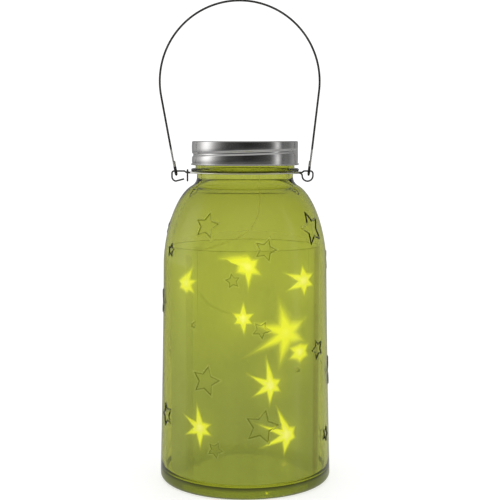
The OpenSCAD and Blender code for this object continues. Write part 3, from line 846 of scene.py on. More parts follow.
@dataclass
class Jar:
    """Tinted glass jar with outline stars and a one-turn thread."""

    heel_r: float = 58.0
    heel_h: float = 4.0
    shoulder_r: float = 55.0
    shoulder_z: float = 146.0
    shoulder_h: float = 54.3
    shoulder_power: float = 1.79
    taper_power: float = 1.3
    neck_r: float = 32.3
    fillet_r: float = 6.5
    fillet_rise: float = 59.0
    fillet_share: float = 0.981
    fillet_start: float = 241.5
    bore_fillet_r: float = 9.0
    bore_fillet_rise: float = 57.5
    bore_fillet_share: float = 0.9715
    bore_fillet_start: float = 238.3
    neck_z: float = 200.3
    bead_z: float = 208.6
    bead_h: float = 2.3
    bead_r: float = 36.2
    finish_z: float = 210.9
    rim_z: float = 227.3
    root_r: float = 33.2
    crest_r: float = 34.8
    mouth_r: float = 29.4
    wall: float = 3.0
    push_up: float = 2.5
    inside_z: float = 7.0
    floor_fillet: float = 4.0
    foot_w: float = 9.0
    pitch: float = 6.35
    thread_z: float = 218.6
    thread_w: float = 2.2
    thread_lead: float = 14.0
    rim_round: float = 0.8
    turns: int = 150
    ridge_w: float = 0.95
    ridge_h: float = 0.6
    cell: float = 2.4
    sag: float = 0.3
    foot_ring_r: float = 30.0
    floor_ring_r: float = 28.0
    bore_rise: float = 16.0
    finish_gap: float = 0.6
    finish_row: float = 0.55
    stars: tuple[tuple[float, float, float, float], ...] = (
        (-28.5, 175.3, 17.4, 8), (58.2, 172.6, 21.1, -14), (14.2, 160.7, 14.9, 20),
        (-7.9, 141.3, 9.9, -10), (-36.1, 111.7, 5.0, 12), (10.8, 110.1, 11.8, 30),
        (-26.3, 76.5, 19.8, 12), (11.0, 47.9, 22.3, 14), (58.5, 93.2, 12.4, -20), (-19.2, 32.5, 11.2, 25),
        (37.5, 82.4, 3.7, 5), (-86.0, 122.0, 15.0, 16), (88.0, 74.0, 18.0, -8), (70.0, 34.0, 9.0, 22),
        (-66.0, 48.0, 14.5, -18), (-63.0, 158.0, 8.0, 6), (100.0, 150.0, 19.0, 12),
        (112.0, 108.0, 9.5, -25), (124.0, 62.0, 21.0, 18), (106.0, 26.0, 11.0, 2),
        (138.0, 136.0, 14.0, -12), (150.0, 96.0, 6.0, 10), (157.0, 147.0, 16.5, 24),
        (170.0, 118.0, 17.0, -6), (160.0, 32.0, 12.5, 15), (178.0, 70.0, 11.0, 32),
        (-164.0, 148.0, 9.0, -16), (-157.0, 44.0, 20.0, 8), (-150.0, 102.0, 13.0, 20),
        (-141.0, 150.0, 12.0, -22), (-132.0, 74.0, 8.0, 4), (-120.0, 130.0, 18.5, 14),
        (-116.0, 32.0, 10.0, -9), (-102.0, 88.0, 16.5, 27), (-96.0, 172.0, 11.0, 0),
    )

    def body(self, height: float) -> float:
        """Radius of the tapered body at a height."""
        rise = max((height - self.heel_h) / (self.shoulder_z - self.heel_h), 0.0)
        return self.shoulder_r + (self.heel_r - self.shoulder_r) * max(1 - rise, 0.0) ** self.taper_power

    def dome(self, share: float, neck: float, start: float) -> float:
        """Radius of the domed shoulder at a share of its height."""
        return neck + (start - neck) * max(1 - share**self.shoulder_power, 0.0) ** (1 / self.shoulder_power)

    def side(self, inset: float, start: float, steps: int) -> list:
        """Profile of the body's side, moved in by an inset."""
        heights = [start + (self.shoulder_z - start) * i / steps for i in range(steps + 1)]
        return [(self.body(z) - inset, z) for z in heights]

    def shoulder(self, neck: float, start: float, height: float, last: float, steps: int) -> list:
        """Profile of the shoulder, from the body up to a neck radius."""
        shares = [last * math.sin(math.radians(90 * i / steps)) for i in range(1, steps + 1)]
        return [(self.dome(t, neck, start), self.shoulder_z + height * t) for t in shares]

    def outline(self) -> list:
        """Closed half section of the jar, as (radius, height)."""
        fillet = (self.neck_r + self.fillet_r, self.shoulder_z + self.fillet_rise)
        bore = (self.mouth_r + self.bore_fillet_r, self.shoulder_z + self.bore_fillet_rise)
        bead = (self.bead_r - self.bead_h / 2, self.bead_z + self.bead_h / 2)
        lip = self.rim_z - self.rim_round
        first = self.finish_z + self.finish_gap
        rows = int((lip - first) / self.finish_row)
        floor_z = self.inside_z + self.floor_fillet
        outer = [
            (0.0, self.push_up),
            (self.foot_ring_r, self.push_up),
            (self.heel_r - self.heel_h - self.foot_w, self.push_up),
            (self.heel_r - self.heel_h - self.foot_w + 2, 0.0),
            *arc((self.heel_r - self.heel_h, self.heel_h), self.heel_h, -90, 0, 10),
            *self.side(0.0, self.heel_h + 2.4, 60),
            *self.shoulder(self.neck_r, self.shoulder_r, self.shoulder_h, self.fillet_share, 34),
            *arc(fillet, self.fillet_r, self.fillet_start, 180, 14),
            (self.neck_r, self.bead_z),
            *arc(bead, self.bead_h / 2, -90, 90, 12),
            (self.root_r, self.finish_z),
            *[(self.root_r, first + self.finish_row * i) for i in range(rows + 1)],
            *arc((self.root_r - self.rim_round, lip), self.rim_round, 0, 90, 5),
        ]
        corner = (self.body(floor_z) - self.wall - self.floor_fillet, floor_z)
        under = (self.mouth_r, self.shoulder_r - self.wall, self.shoulder_h - self.wall)
        inner = [
            (0.0, self.inside_z),
            (self.floor_ring_r, self.inside_z),
            *arc(corner, self.floor_fillet, -90, 0, 8),
            *self.side(self.wall, floor_z + 4, 30),
            *self.shoulder(*under, self.bore_fillet_share, 34),
            *arc(bore, self.bore_fillet_r, self.bore_fillet_start, 180, 16),
            (self.mouth_r, self.neck_z + self.bore_rise),
            *arc((self.mouth_r + self.rim_round, lip), self.rim_round, 180, 90, 5),
        ]
        return outer + inner[::-1]

    def surface(self, height: float) -> Optional[float]:
        """Outer radius at a height on the body or the shoulder, or None elsewhere."""
        if self.heel_h < height <= self.shoulder_z:
            return self.body(height)
        share = (height - self.shoulder_z) / self.shoulder_h
        if 0 < share < 0.93:
            return self.dome(share, self.neck_r, self.shoulder_r)
        return None

    def is_outside(self, at: Vector) -> bool:
        """Whether a point lies on the outer face of the body or the shoulder."""
        radius = self.surface(at.z)
        return bool(radius) and Vector((at.x, at.y)).length > radius - self.sag

    def raise_star(self, bm: bmesh.types.BMesh, layer: bmesh.types.BMLayerItem, star: RaisedStar) -> None:
        """Moulds one outline star: the faces along its outline are split finer, then lifted.

        Args:
            bm: the glass.
            layer: vertex layer that receives which flank of the ridge a point is on.
            star: the star.
        """
        heights = (star.height, star.height - 0.5, star.height + 0.5)
        out, low, high = (Vector(place(star.angle, self.surface(z), z)) for z in heights)
        up = (high - low).normalized()
        across = Vector(place(star.angle + 90, 1.0, 0.0))
        normal = across.cross(up)
        if normal.dot(Vector((out.x, out.y, 0))) < 0:
            normal = -normal
        corners = []
        for k in range(10):
            reach = star.tip * (1.0 if k % 2 == 0 else star.notch)
            turn = math.radians(star.turn + 36 * k)
            corners.append(out + across * reach * math.sin(turn) + up * reach * math.cos(turn))
        sides = list(zip(corners, corners[1:] + corners[:1]))

        def gap(point: Vector) -> float:
            """Distance from the outline, along the surface."""
            flat = point - normal * (point - out).dot(normal)
            nearest = math.inf
            for a, b in sides:
                spot, share = intersect_point_line(flat, a, b)
                spot = a if share < 0 else b if share > 1 else spot
                nearest = min(nearest, (flat - spot).length)
            return nearest

        def within(point: Vector) -> bool:
            """Whether a point lies inside the outline."""
            turns = 0.0
            for a, b in sides:
                p, q = a - point, b - point
                turns += math.atan2(p.cross(q).dot(normal), p.dot(q))
            return abs(turns) > math.pi

        width = min(self.ridge_w, 0.5 + star.size * 0.02)
        cell = self.cell
        for _ in range(3):
            reach = star.tip + cell * 1.5
            near = {}
            for v in bm.verts:
                at = v.co / MM
                if abs(at.z - out.z) < reach and (at - out).length < reach and self.is_outside(at):
                    near[v] = gap(at)
            edges = [
                e
                for e in bm.edges
                if e.verts[0] in near
                and e.verts[1] in near
                and min(near[e.verts[0]], near[e.verts[1]]) < width + cell * 0.75
            ]
            split_edges(bm, edges, self.surface)
            cell /= 2
        for v in bm.verts:
            at = v.co / MM
            if (at - out).length < star.tip + 2 and self.is_outside(at):
                d = gap(at) / width
                if d < 1:
                    v.co += normal * (self.ridge_h * 0.5 * (1 + math.cos(math.pi * d))) * MM
                    # the glass's finish turns this flank value into painted shade inside the outline and a
                    # painted highlight outside it
                    v[layer] = math.sin(math.pi * d) * (1.0 if within(at) else -1.0)

    def cut_thread(self, bm: bmesh.types.BMesh) -> None:
        """Moulds the thread: one turn that climbs to the left, with tapered ends."""
        for v in bm.verts:
            at = v.co / MM
            reach = math.hypot(at.x, at.y)
            if self.finish_z + 0.5 < at.z < self.rim_z - 1 and reach > self.root_r - self.sag:
                middle, fade = climb(at, self.thread_z, self.pitch, self.thread_lead)
                share = 1 - ease(abs(at.z - middle) / self.thread_w * 1.5 - 0.4)
                lift = (self.crest_r - self.root_r) * fade * share
                move_out(v, 1 + lift / reach)

    def build(self) -> bpy.types.Object:
        """Builds the glass.

        Returns:
            The jar as an object that rides the jar body.
        """
        bm = bmesh.new()
        spin_profile(bm, self.outline(), self.turns)
        layer = bm.verts.layers.float.new("flank")
        for star in self.stars:
            self.raise_star(bm, layer, RaisedStar(*star))
        self.cut_thread(bm)
        glass = as_object(bm, "jar_glass")
        dress(glass, GLASS.paint())
        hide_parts("glass_jar")
        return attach(glass, "jar")


# ------------------------------------------------------------------ film


@dataclass(frozen=True)
class Burst:
    """Yellow burst on the film: its centre, its tips across and up from it, the reach of the hollows
    between them, its strength, what its outline is enlarged by and how often the film is split finer
    under it. A burst without hollows gives its whole outline as tips."""

    angle: float
    height: float
    tips: tuple[tuple[float, float], ...]
    waist: float = 5.0
    strength: float = 1.0
    spread: float = 1.19
    fine: int = 2

    @cached_property
    def ring(self) -> list[tuple[float, float]]:
        """Outline of the burst, as (turn, reach) in rising turns."""
        corners = sorted((math.atan2(v, u), math.hypot(u, v) * self.spread) for u, v in self.tips)
        if not self.waist:
            return corners
        ring: list[tuple[float, float]] = []
        for i, (a, length) in enumerate(corners):
            b, _ = corners[(i + 1) % len(corners)]
            b += 2 * math.pi if b < a else 0.0
            ring += [(a, length), ((a + b) / 2, self.waist * self.spread)]
        return ring

    def glow(self, across: float, up: float) -> float:
        """Brightness at a point of the film, from 1 at the centre to 0 at the outline.

        Args:
            across: millimetres to the right of the centre.
            up: millimetres above it.

        Returns:
            The brightness there.
        """
        reach = math.hypot(across, up)
        if reach < 1e-6:
            return 1.0
        angle = math.atan2(up, across)
        ring = self.ring
        for i, (a, length) in enumerate(ring):
            b, other = ring[(i + 1) % len(ring)]
            b += 2 * math.pi if b < a else 0.0
            for turned in (angle, angle + 2 * math.pi):
                if a <= turned <= b:
                    p, q = Vector((length, 0)), Vector((other * math.cos(b - a), other * math.sin(b - a)))
                    ray = Vector((math.cos(turned - a), math.sin(turned - a)))
                    side = q - p
                    bottom = ray.x * side.y - ray.y * side.x
                    edge = (p.x * side.y - p.y * side.x) / bottom if abs(bottom) > 1e-9 else length
                    return max(1 - reach / edge, 0.0)
        return 0.0


def even_burst(size: float, turn: float = 0.0) -> tuple[tuple[float, float], ...]:
    """Tips of a burst with a long upright pair of arms and four shorter ones."""
    arms = ((90, 1.0), (152, 0.85), (208, 0.8), (270, 0.95), (332, 0.75), (28, 0.72))
    return tuple(
        (size * s * math.cos(math.radians(a + turn)), size * s * math.sin(math.radians(a + turn)))
        for a, s in arms
    )


@dataclass
class StarFilm:
    """Sleeve of film that stands inside the jar."""

    radius: float = 50.4
    thickness: float = 0.2
    foot: float = FILM.foot
    top: float = FILM.top
    turns: int = 140
    rows: int = 64
    cell: float = 2.4
    haze_reach: float = 40.0
    hazes: tuple[tuple[float, float], ...] = ((7.5, 0.65), (15.0, 0.35))
    split_spread: float = 1.02
    split_waist: float = 1.1
    bursts: tuple[Burst, ...] = (
        Burst(
            -47.6, 137.4,
            ((7.5, 12.5), (-9.5, 1.5), (-8.0, -4.5), (1.0, -8.0), (9.0, -7.0), (11.0, 3.0)),
            6.6, 0.85,
        ),
        Burst(
            2.2, 149.8,
            (
                (-21.0, 5.8), (-12.0, 8.2), (-0.7, 9.2), (3.2, 5.8), (7.6, 5.8), (6.2, -0.5), (9.8, -6.2),
                (3.4, -5.8), (0.4, -16.7), (-2.0, -6.2), (-8.7, -4.4), (-7.6, 1.4),
            ),
            0.0, 0.85,
        ),
        Burst(
            47.6, 139.2,
            ((-1.9, 11.3), (-17.8, 6.6), (-15.6, -5.9), (0.9, -11.6), (11.9, -4.9), (11.3, 4.3)),
            6.2,
        ),
        Burst(
            -1.2, 116.6,
            ((0.3, 12.8), (-7.8, 4.4), (-6.3, -3.6), (0.9, -11.7), (6.6, -3.7), (7.9, 4.0)),
            4.5,
        ),
        Burst(
            31.2, 106.5,
            ((-6.3, 25.3), (-28.0, 9.2), (-28.8, -14.9), (-6.4, -27.2), (19.0, -8.6), (19.0, 9.2)),
            11.6, 0.68,
        ),
        Burst(
            44.0, 92.8,
            ((0.0, 7.0), (-11.0, 4.5), (-10.5, -4.0), (0.0, -8.5), (9.0, -4.0), (9.5, 5.0)),
            7.0, 0.9,
        ),
        Burst(
            18.7, 73.2,
            ((-3.1, 20.7), (-16.0, 8.5), (-12.9, -7.6), (-0.5, -14.8), (8.0, -5.1), (8.0, 4.2)),
            5.5,
        ),
        Burst(
            -34.7, 43.7,
            ((-2.4, 17.6), (-15.8, 7.8), (-14.2, -7.0), (0.4, -15.4), (10.2, -4.4), (9.8, 4.0)),
            5.8,
        ),
        Burst(
            32.1, 39.7,
            ((-8.5, 21.5), (-22.4, 9.7), (-19.4, -7.2), (-2.5, -14.8), (7.7, -3.4), (7.3, 5.1)),
            6.4,
        ),
        Burst(178.0, 139.0, even_burst(13.0, 6), fine=1),
        Burst(144.0, 92.0, even_burst(14.0, -8), fine=1),
        Burst(159.0, 53.0, even_burst(15.0, 4), fine=1),
        Burst(144.0, 20.0, even_burst(12.0, 14), fine=1),
    )

    @property
    def outer(self) -> float:
        """Radius of the outer face."""
        return self.radius + self.thickness / 2

    def is_outside(self, at: Vector) -> bool:
        """Whether a point lies on the outer face."""
        return math.hypot(at.x, at.y) > self.outer - self.thickness / 2

    def offset(self, burst: Burst, at: Vector) -> tuple[float, float]:
        """Distance across and up from a burst's centre to a point, along the film."""
        angle = math.degrees(math.atan2(at.x, -at.y))
        turn = (angle - burst.angle + 180) % 360 - 180
        return math.radians(turn) * self.radius, at.z - burst.height

    def split_under(self, bm: bmesh.types.BMesh, burst: Burst) -> None:
        """Splits the film finer under a burst."""
        far = max(math.hypot(u, v) for u, v in burst.tips) * burst.spread
        wide = replace(burst, spread=burst.spread * self.split_spread, waist=burst.waist * self.split_waist)
        cell = self.cell
        for _ in range(burst.fine):
            near = set()
            for v in bm.verts:
                at = v.co / MM
                if abs(at.z - burst.height) > far + cell or not self.is_outside(at):
                    continue
                across, up = self.offset(burst, at)
                reach = math.hypot(across, up)
                pull = max(reach - cell, 0.0) / max(reach, 1e-6)
                if reach < far + cell and wide.glow(across * pull, up * pull) > 0:
                    near.add(v)
            edges = [e for e in bm.edges if e.verts[0] in near and e.verts[1] in near]
            split_edges(bm, edges, lambda _: self.outer)
            cell /= 2

    def light(self, at: Vector) -> tuple[float, float]:
        """Brightness of the bursts, and of the haze round them, at a point of the outer face."""
        shape = haze = 0.0
        for burst in self.bursts:
            across, up = self.offset(burst, at)
            reach = math.hypot(across, up)
            if reach < self.haze_reach:
                shape = max(shape, burst.glow(across, up) * burst.strength)
                around = sum(share * math.exp(-((reach / size) ** 2)) for size, share in self.hazes)
                haze = max(haze, burst.strength * around)
        return shape, haze

    def build(self) -> list[bpy.types.Object]:
        """Builds the film and its tape.

        Returns:
            Both pieces; the film rides the jar.
        """
        bm = bmesh.new()
        inner, rise = self.radius - self.thickness / 2, self.top - self.foot
        profile = [(self.outer, self.foot + rise * i / self.rows) for i in range(self.rows + 1)]
        spin_profile(bm, profile + [(inner, self.top), (inner, self.foot)], self.turns)
        for burst in self.bursts:
            self.split_under(bm, burst)
        layer = bm.verts.layers.float_vector.new("burst")
        for v in bm.verts:
            at = v.co / MM
            shape, haze = self.light(at) if self.is_outside(at) else (0.0, 0.0)
            v[layer] = (shape, haze, 0.0)
        film = as_object(bm, "star_film_sleeve")
        dress(film, FILM.paint())
        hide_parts("star_film")
        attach(film, "jar")
        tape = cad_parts["film_tape"]
        dress(tape, TAPE.paint())
        return [film, tape]


# ------------------------------------------------------------------ wire fittings


@dataclass
class WireFittings:
    """Neck wire with its two ears, and the bail that hooks into them."""

    bail_r: float = 0.62
    bail_swell: float = 1.13
    neck_wire_r: float = 0.56
    bar_r: float = 0.52
    gap: float = 0.06
    ring_r: float = 33.1
    ring_z: float = 207.95
    ear_z: float = 208.95
    ear_h: float = 6.8
    ear_bar: float = 1.9
    ear_half: float = 3.65
    right_ear_x: float = 42.0
    arch_x: float = -3.5
    arch_z: float = 268.25
    arch_r: float = 53.2
    hook_drop: float = 1.5
    hook_tail: float = 6.8
    right_hook_w: float = 0.4
    right_hook_off: float = 1.0
    left_hook_w: float = 0.6
    left_hook_x: float = 46.6
    left_bar_in: float = -40.5
    left_corner: float = 1.5
    left_round: float = 3.0
    tail_x: float = -38.6
    tail_l: float = 6.6

    @property
    def hook_y(self) -> float:
        """Distance from the bail's plane to the ears' plane."""
        return self.bail_r + self.bar_r + self.gap

    @property
    def left_x(self) -> float:
        """Where the bail's left leg passes its ear."""
        return -self.left_hook_x - self.left_hook_w / 2

    @property
    def right_x(self) -> float:
        """Where the right leg passes its ear."""
        return self.right_ear_x + self.right_hook_off + self.right_hook_w / 2

    def leg(self, x: float, width: float, side: float) -> tuple[list[Point], float]:
        """One leg of the bail with its hook.

        Args:
            x: where the leg passes its ear.
            width: how far the hook's tail stands inwards of the leg.
            side: 1 on the right, -1 on the left.

        Returns:
            The leg's points from the tail's end up, and the arch's angle where the leg meets it.
        """
        run, rise = self.arch_x - x, self.arch_z - self.ear_z
        reach = math.hypot(run, rise)
        dip = math.degrees(math.asin(self.arch_r / reach))
        slope = math.degrees(math.atan2(rise, run))
        lean = math.radians(90 - slope + side * dip)
        length = math.sqrt(reach * reach - self.arch_r**2)
        fold = math.hypot(width, 2 * self.hook_y)
        over = (-side * width / fold, 2 * self.hook_y / fold)
        hook = [(fold, self.hook_tail), (fold, self.hook_tail / 2), (fold, 0.0)]
        hook += arc((fold / 2, -self.hook_drop), fold / 2, 0, -180, 12)
        hook += [(0.0, 0.0), (0.0, self.hook_tail), (0.0, self.hook_tail + 4.0), (0.0, length / 2)]
        points = []
        for out, up in hook:
            a = out * over[0]
            points.append(
                (
                    x + a * math.cos(lean) + up * math.sin(lean),
                    -self.hook_y + out * over[1],
                    self.ear_z - a * math.sin(lean) + up * math.cos(lean),
                )
            )
        return points, slope - side * dip - side * 90

    def build_bail(self) -> bpy.types.Object:
        """Builds the bail.

        Returns:
            The bail, which rides its own body.
        """
        right, end = self.leg(self.right_x, self.right_hook_w, 1)
        left, start = self.leg(self.left_x, self.left_hook_w, -1)
        arch = bend((self.arch_x, -self.hook_y, self.arch_z), self.arch_r, end, start, 96)
        bm = bmesh.new()
        hooks_end = self.ear_z + self.hook_tail + 2.0
        add_rod(bm, right + arch + left[::-1], self.bail_r, 16, self.bail_swell, hooks_end)
        bail = as_object(bm, "bail_wire")
        dress(bail, BAIL_WIRE.paint())
        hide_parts("bail_handle")
        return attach(bail, "bail")

    def neck_line(self) -> list[Point]:
        """Centre line of the neck wire, from its tail to the end of the left ear. The small offsets
        are those of its hand-bent ends."""
        right_in = self.right_ear_x - self.ear_half + 0.35
        right_a = math.degrees(math.acos(self.ring_r / right_in))
        left_a = math.degrees(math.acos(self.ring_r / -self.left_bar_in))
        corner = self.ear_half - self.ear_bar
        low_z = self.ear_z - self.ear_h
        low = low_z + self.ear_half
        rounding = self.left_round
        turn = 2 * self.neck_wire_r + 0.1
        fold = self.neck_wire_r + 0.55
        out = self.left_x - self.bail_r - self.gap
        fold_z = self.ear_z - 0.35
        x, z = self.tail_x, self.ring_z
        tail = [(x, -fold, fold_z - self.tail_l), (x, -fold, fold_z - self.tail_l / 2)]
        over = [(x, py, pz) for py, pz in arc((0.0, fold_z), fold, 180, 30, 10)]
        over.append((x + 0.3, fold + 0.7, z))
        back = [(px, py, z) for px, py in arc((0.0, 0.0), self.ring_r, 180 - left_a, right_a, 48)]
        front = [(px, -py, pz) for px, py, pz in reversed(back)]
        high = self.ear_z - corner
        top = [
            (right_in - 1, 1.0, z),
            *bend((self.right_ear_x - self.ear_bar, 0.0, high), corner, 150, 90, 5),
            *bend((self.right_ear_x + self.ear_bar, 0.0, high), corner, 90, 0, 8),
        ]
        loop = arc((self.right_ear_x, low), self.ear_half, 0, -180, 20)
        under = [(px, -turn * k / 20, pz) for k, (px, pz) in enumerate(loop)][1:]
        leave = [
            (self.right_ear_x - self.ear_half, -turn, z - 1.6),
            (right_in - 1.2, -turn - 1.0, z - 0.5),
        ]
        left = [
            (self.left_bar_in + 2.3, -3.2, z),
            (self.left_bar_in + 0.8, -2.0, z + 0.35),
            (self.left_bar_in + 0.1, -0.9, self.ear_z - 0.1),
            (self.left_bar_in - 0.4, 0.0, self.ear_z),
            ((self.left_bar_in + out) / 2, 0.0, self.ear_z),
            *bend((out, 0.0, self.ear_z - self.left_corner), self.left_corner, 90, 180, 8),
            *bend((out - self.left_corner + rounding, 0.0, low_z + rounding), rounding, 180, 262, 12),
            (self.left_bar_in - 0.4, 0.0, low_z + rounding / 2),
        ]
        return tail + over + back + top + under + leave + front + left

    def build_neck_wire(self) -> bpy.types.Object:
        """Builds the neck wire.

        Returns:
            The wire, which rides the jar.
        """
        bm = bmesh.new()
        add_rod(bm, self.neck_line(), self.neck_wire_r, 14)
        wire = as_object(bm, "neck_wire_ring")
        dress(wire, RING_WIRE.paint())
        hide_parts("neck_wire")
        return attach(wire, "jar")


# ------------------------------------------------------------------ closure


@dataclass
class ScrewBand:
    """Spun metal band with a rolled thread and a curled lower edge."""

    radius: float = 35.5
    bottom: float = 213.0
    top: float = 229.0
    sheet: float = 0.4
    opening_r: float = 30.5
    corner: float = 0.9
    curl_r: float = 0.6
    groove_z: float = 216.55
    groove_w: float = 2.0
    groove_d: float = 0.8
    groove_lead: float = 10.0
    pitch: float = 6.35
    crown: float = 0.13
    turns: int = 168
    rows: int = 40

    def outline(self) -> list:
        """Closed half section of the band."""
        inner = self.radius - self.sheet
        curl = (self.radius - self.curl_r + 0.7, self.bottom + self.curl_r)
        high, low = self.top - self.corner, curl[1] + 0.5
        heights = [high + (low - high) * i / self.rows for i in range(self.rows + 1)]
        lip = self.top - self.sheet / 2
        return [
            *arc((self.opening_r + self.sheet / 2, lip), self.sheet / 2, 270, 90, 6),
            (self.opening_r + 1.6, self.top),
            (self.opening_r + 2.4, self.top - 0.12),
            (self.opening_r + 3.2, self.top),
            *arc((self.radius - self.corner, high), self.corner, 90, 8, 8),
            *[(self.radius, z) for z in heights],
            *arc(curl, self.curl_r, 50, -190, 14),
            *[(inner, z) for z in heights[::-1]],
            *arc((self.radius - self.corner, high), self.corner - self.sheet, 8, 90, 6),
        ]

    def dip(self, at: Vector, low: float, high: float) -> float:
        """How far the rolled side lies inside its radius.

        Args:
            at: a point of the side.
            low: height of the side's lower end.
            high: height of its upper end.

        Returns:
            The depth there: the groove's, less the crown of the metal above and below it.
        """
        middle, fade = climb(at, self.groove_z, self.pitch, self.groove_lead)
        groove = self.groove_d * fade * (1 - ease(abs(at.z - middle) / self.groove_w * 1.6 - 0.25))
        half = self.groove_w * 0.7
        above = (at.z - middle - half) / (high - middle - half)
        below = (at.z - low) / (middle - half - low)
        share = min(max(above if at.z > middle else below, 0.0), 1.0)
        return groove - 4 * self.crown * fade * share * (1 - share)

    def build(self) -> bpy.types.Object:
        """Builds the band.

        Returns:
            The band, which rides its own body.
        """
        bm = bmesh.new()
        spin_profile(bm, self.outline(), self.turns)
        low, high = self.bottom + 2 * self.curl_r + 0.1, self.top - self.corner
        for v in bm.verts:
            at = v.co / MM
            reach = math.hypot(at.x, at.y)
            if reach > self.radius - self.sheet - 0.05 and low < at.z < high:
                move_out(v, 1 - self.dip(at, low, high) / reach)
        band = as_object(bm, "screw_band", 50)
        dress(band, BAND_STEEL.paint())
        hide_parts("lid_band")
        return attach(band, "screw_band")


def dress_light_unit() -> list[bpy.types.Object]:
    """Dresses the solids of the light unit: the closure disc and everything under it.

    Returns:
        The dressed pieces.
    """
    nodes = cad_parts
    white, black, spring = WHITE.paint(), BLACK.paint(), SPRING_STEEL.paint()
    finishes = {
        "lid_disc": (DISC_STEEL.paint(), "band_steel"),
        "lid_gasket": (RUBBER.paint(), "seal_rubber"),
        "lid_screws": (SCREW_STEEL.paint(), "screw_steel"),
        "battery_housing": (black, "black_plastic"),
        "battery_door": (black, "black_plastic"),
        "battery_cell_left": (CellSleeve("cell sleeve left", -1.0).paint(), "cell_sleeve"),
        "battery_cell_right": (CellSleeve("cell sleeve right", 1.0).paint(), "cell_sleeve"),
        "contact_springs": (spring, "screw_steel"),
        "contact_plates": (spring, "screw_steel"),
        "driver_board": (BOARD.paint(), "board_green"),
        "driver_chip": (black, "black_plastic"),
        "board_screws": (SCREW_STEEL.paint(), "screw_steel"),
        "switch_body": (white, "white_plastic"),
        "switch_slider": (black, "black_plastic"),
        "string_grommet": (RUBBER.paint(), "seal_rubber"),
    }
    for name, (material, slot) in finishes.items():
        dress(nodes[name], material)
    return [nodes[name] for name in finishes]


# ------------------------------------------------------------------ light string


@dataclass
class LightString:
    """Two fine copper leads twisted together, with a resin drop at each light."""

    radius: float = 48.4
    lead_r: float = 0.12
    twist: float = 7.0
    steps: int = 44
    drop_r: float = 1.45
    drop_l: float = 1.35
    route: tuple[tuple[float, float, int], ...] = (
        (-120, 150, 0), (-60, 153, 0), (2, 150, 1), (50, 139, 1), (110, 140, 0), (178, 139, 1),
        (250, 142, 0), (312, 137, 1), (334, 124, 0), (359, 118, 1), (378, 117, 0), (391, 107, 1),
        (405, 93, 1), (450, 90, 0), (504, 92, 1), (580, 90, 0), (680, 80, 0), (739, 73, 1), (800, 64, 0),
        (879, 53, 1), (960, 50, 0), (1044, 44, 1), (1112, 40, 1), (1170, 28, 0), (1224, 18, 1),
    )
    drop: tuple[tuple[float, float, float], ...] = (
        (-209, 20.9, 214), (-209, 20.9, 206), (-208, 22, 198),
        (-202, 27, 186), (-190, 36, 172), (-170, 44, 160),
    )

    def line(self) -> list[Vector]:
        """Centre line of the string."""
        polar = list(self.drop) + [(a, self.radius, z) for a, z, _ in self.route]
        return [Vector(place(*point)) for point in smooth_line(polar, self.steps)]

    def strands(self) -> list[list[Vector]]:
        """Centre lines of the two leads, wound round the string's line."""
        line = self.line()
        pair: list[list[Vector]] = [[], []]
        travelled = 0.0
        for i, point in enumerate(line):
            ahead = line[min(i + 1, len(line) - 1)] - line[max(i - 1, 0)]
            travelled += (point - line[i - 1]).length if i else 0.0
            side = ahead.cross(Vector((0, 0, 1)))
            side = side.normalized() if side.length > 1e-4 else Vector((1, 0, 0))
            lift = side.cross(ahead).normalized()
            turn = travelled / self.twist * 2 * math.pi
            reach = self.lead_r * (side * math.cos(turn) + lift * math.sin(turn))
            pair[0].append(point + reach)
            pair[1].append(point - reach)
        return pair

    def build(self) -> list[bpy.types.Object]:
        """Builds the leads and the drops.

        Returns:
            Both pieces, which ride the light unit.
        """
        bm = bmesh.new()
        for strand in self.strands():
            add_rod(bm, strand, self.lead_r, 6)
        leads = as_object(bm, "string_leads")
        dress(leads, LEADS.paint())
        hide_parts("light_string")
        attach(leads, "light_unit")
        bm = bmesh.new()
        for angle, height, light in self.route:
            if light:
                at = Vector(place(angle, self.radius, height)) * MM
                along = Vector(place(angle + 90, 1.0, 0.0))
                turn = along.to_track_quat("Z", "Y").to_matrix().to_4x4()
                put = Matrix.Translation(at) @ turn @ Matrix.Diagonal((1.0, 1.0, self.drop_l, 1.0))
                size = self.drop_r * MM
                bmesh.ops.create_uvsphere(bm, u_segments=20, v_segments=14, radius=size, matrix=put)
        drops = as_object(bm, "light_drops")
        dress(drops, Lit().paint())
        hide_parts("light_beads")
        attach(drops, "light_unit")
        return [leads, drops]


# ------------------------------------------------------------------ studio


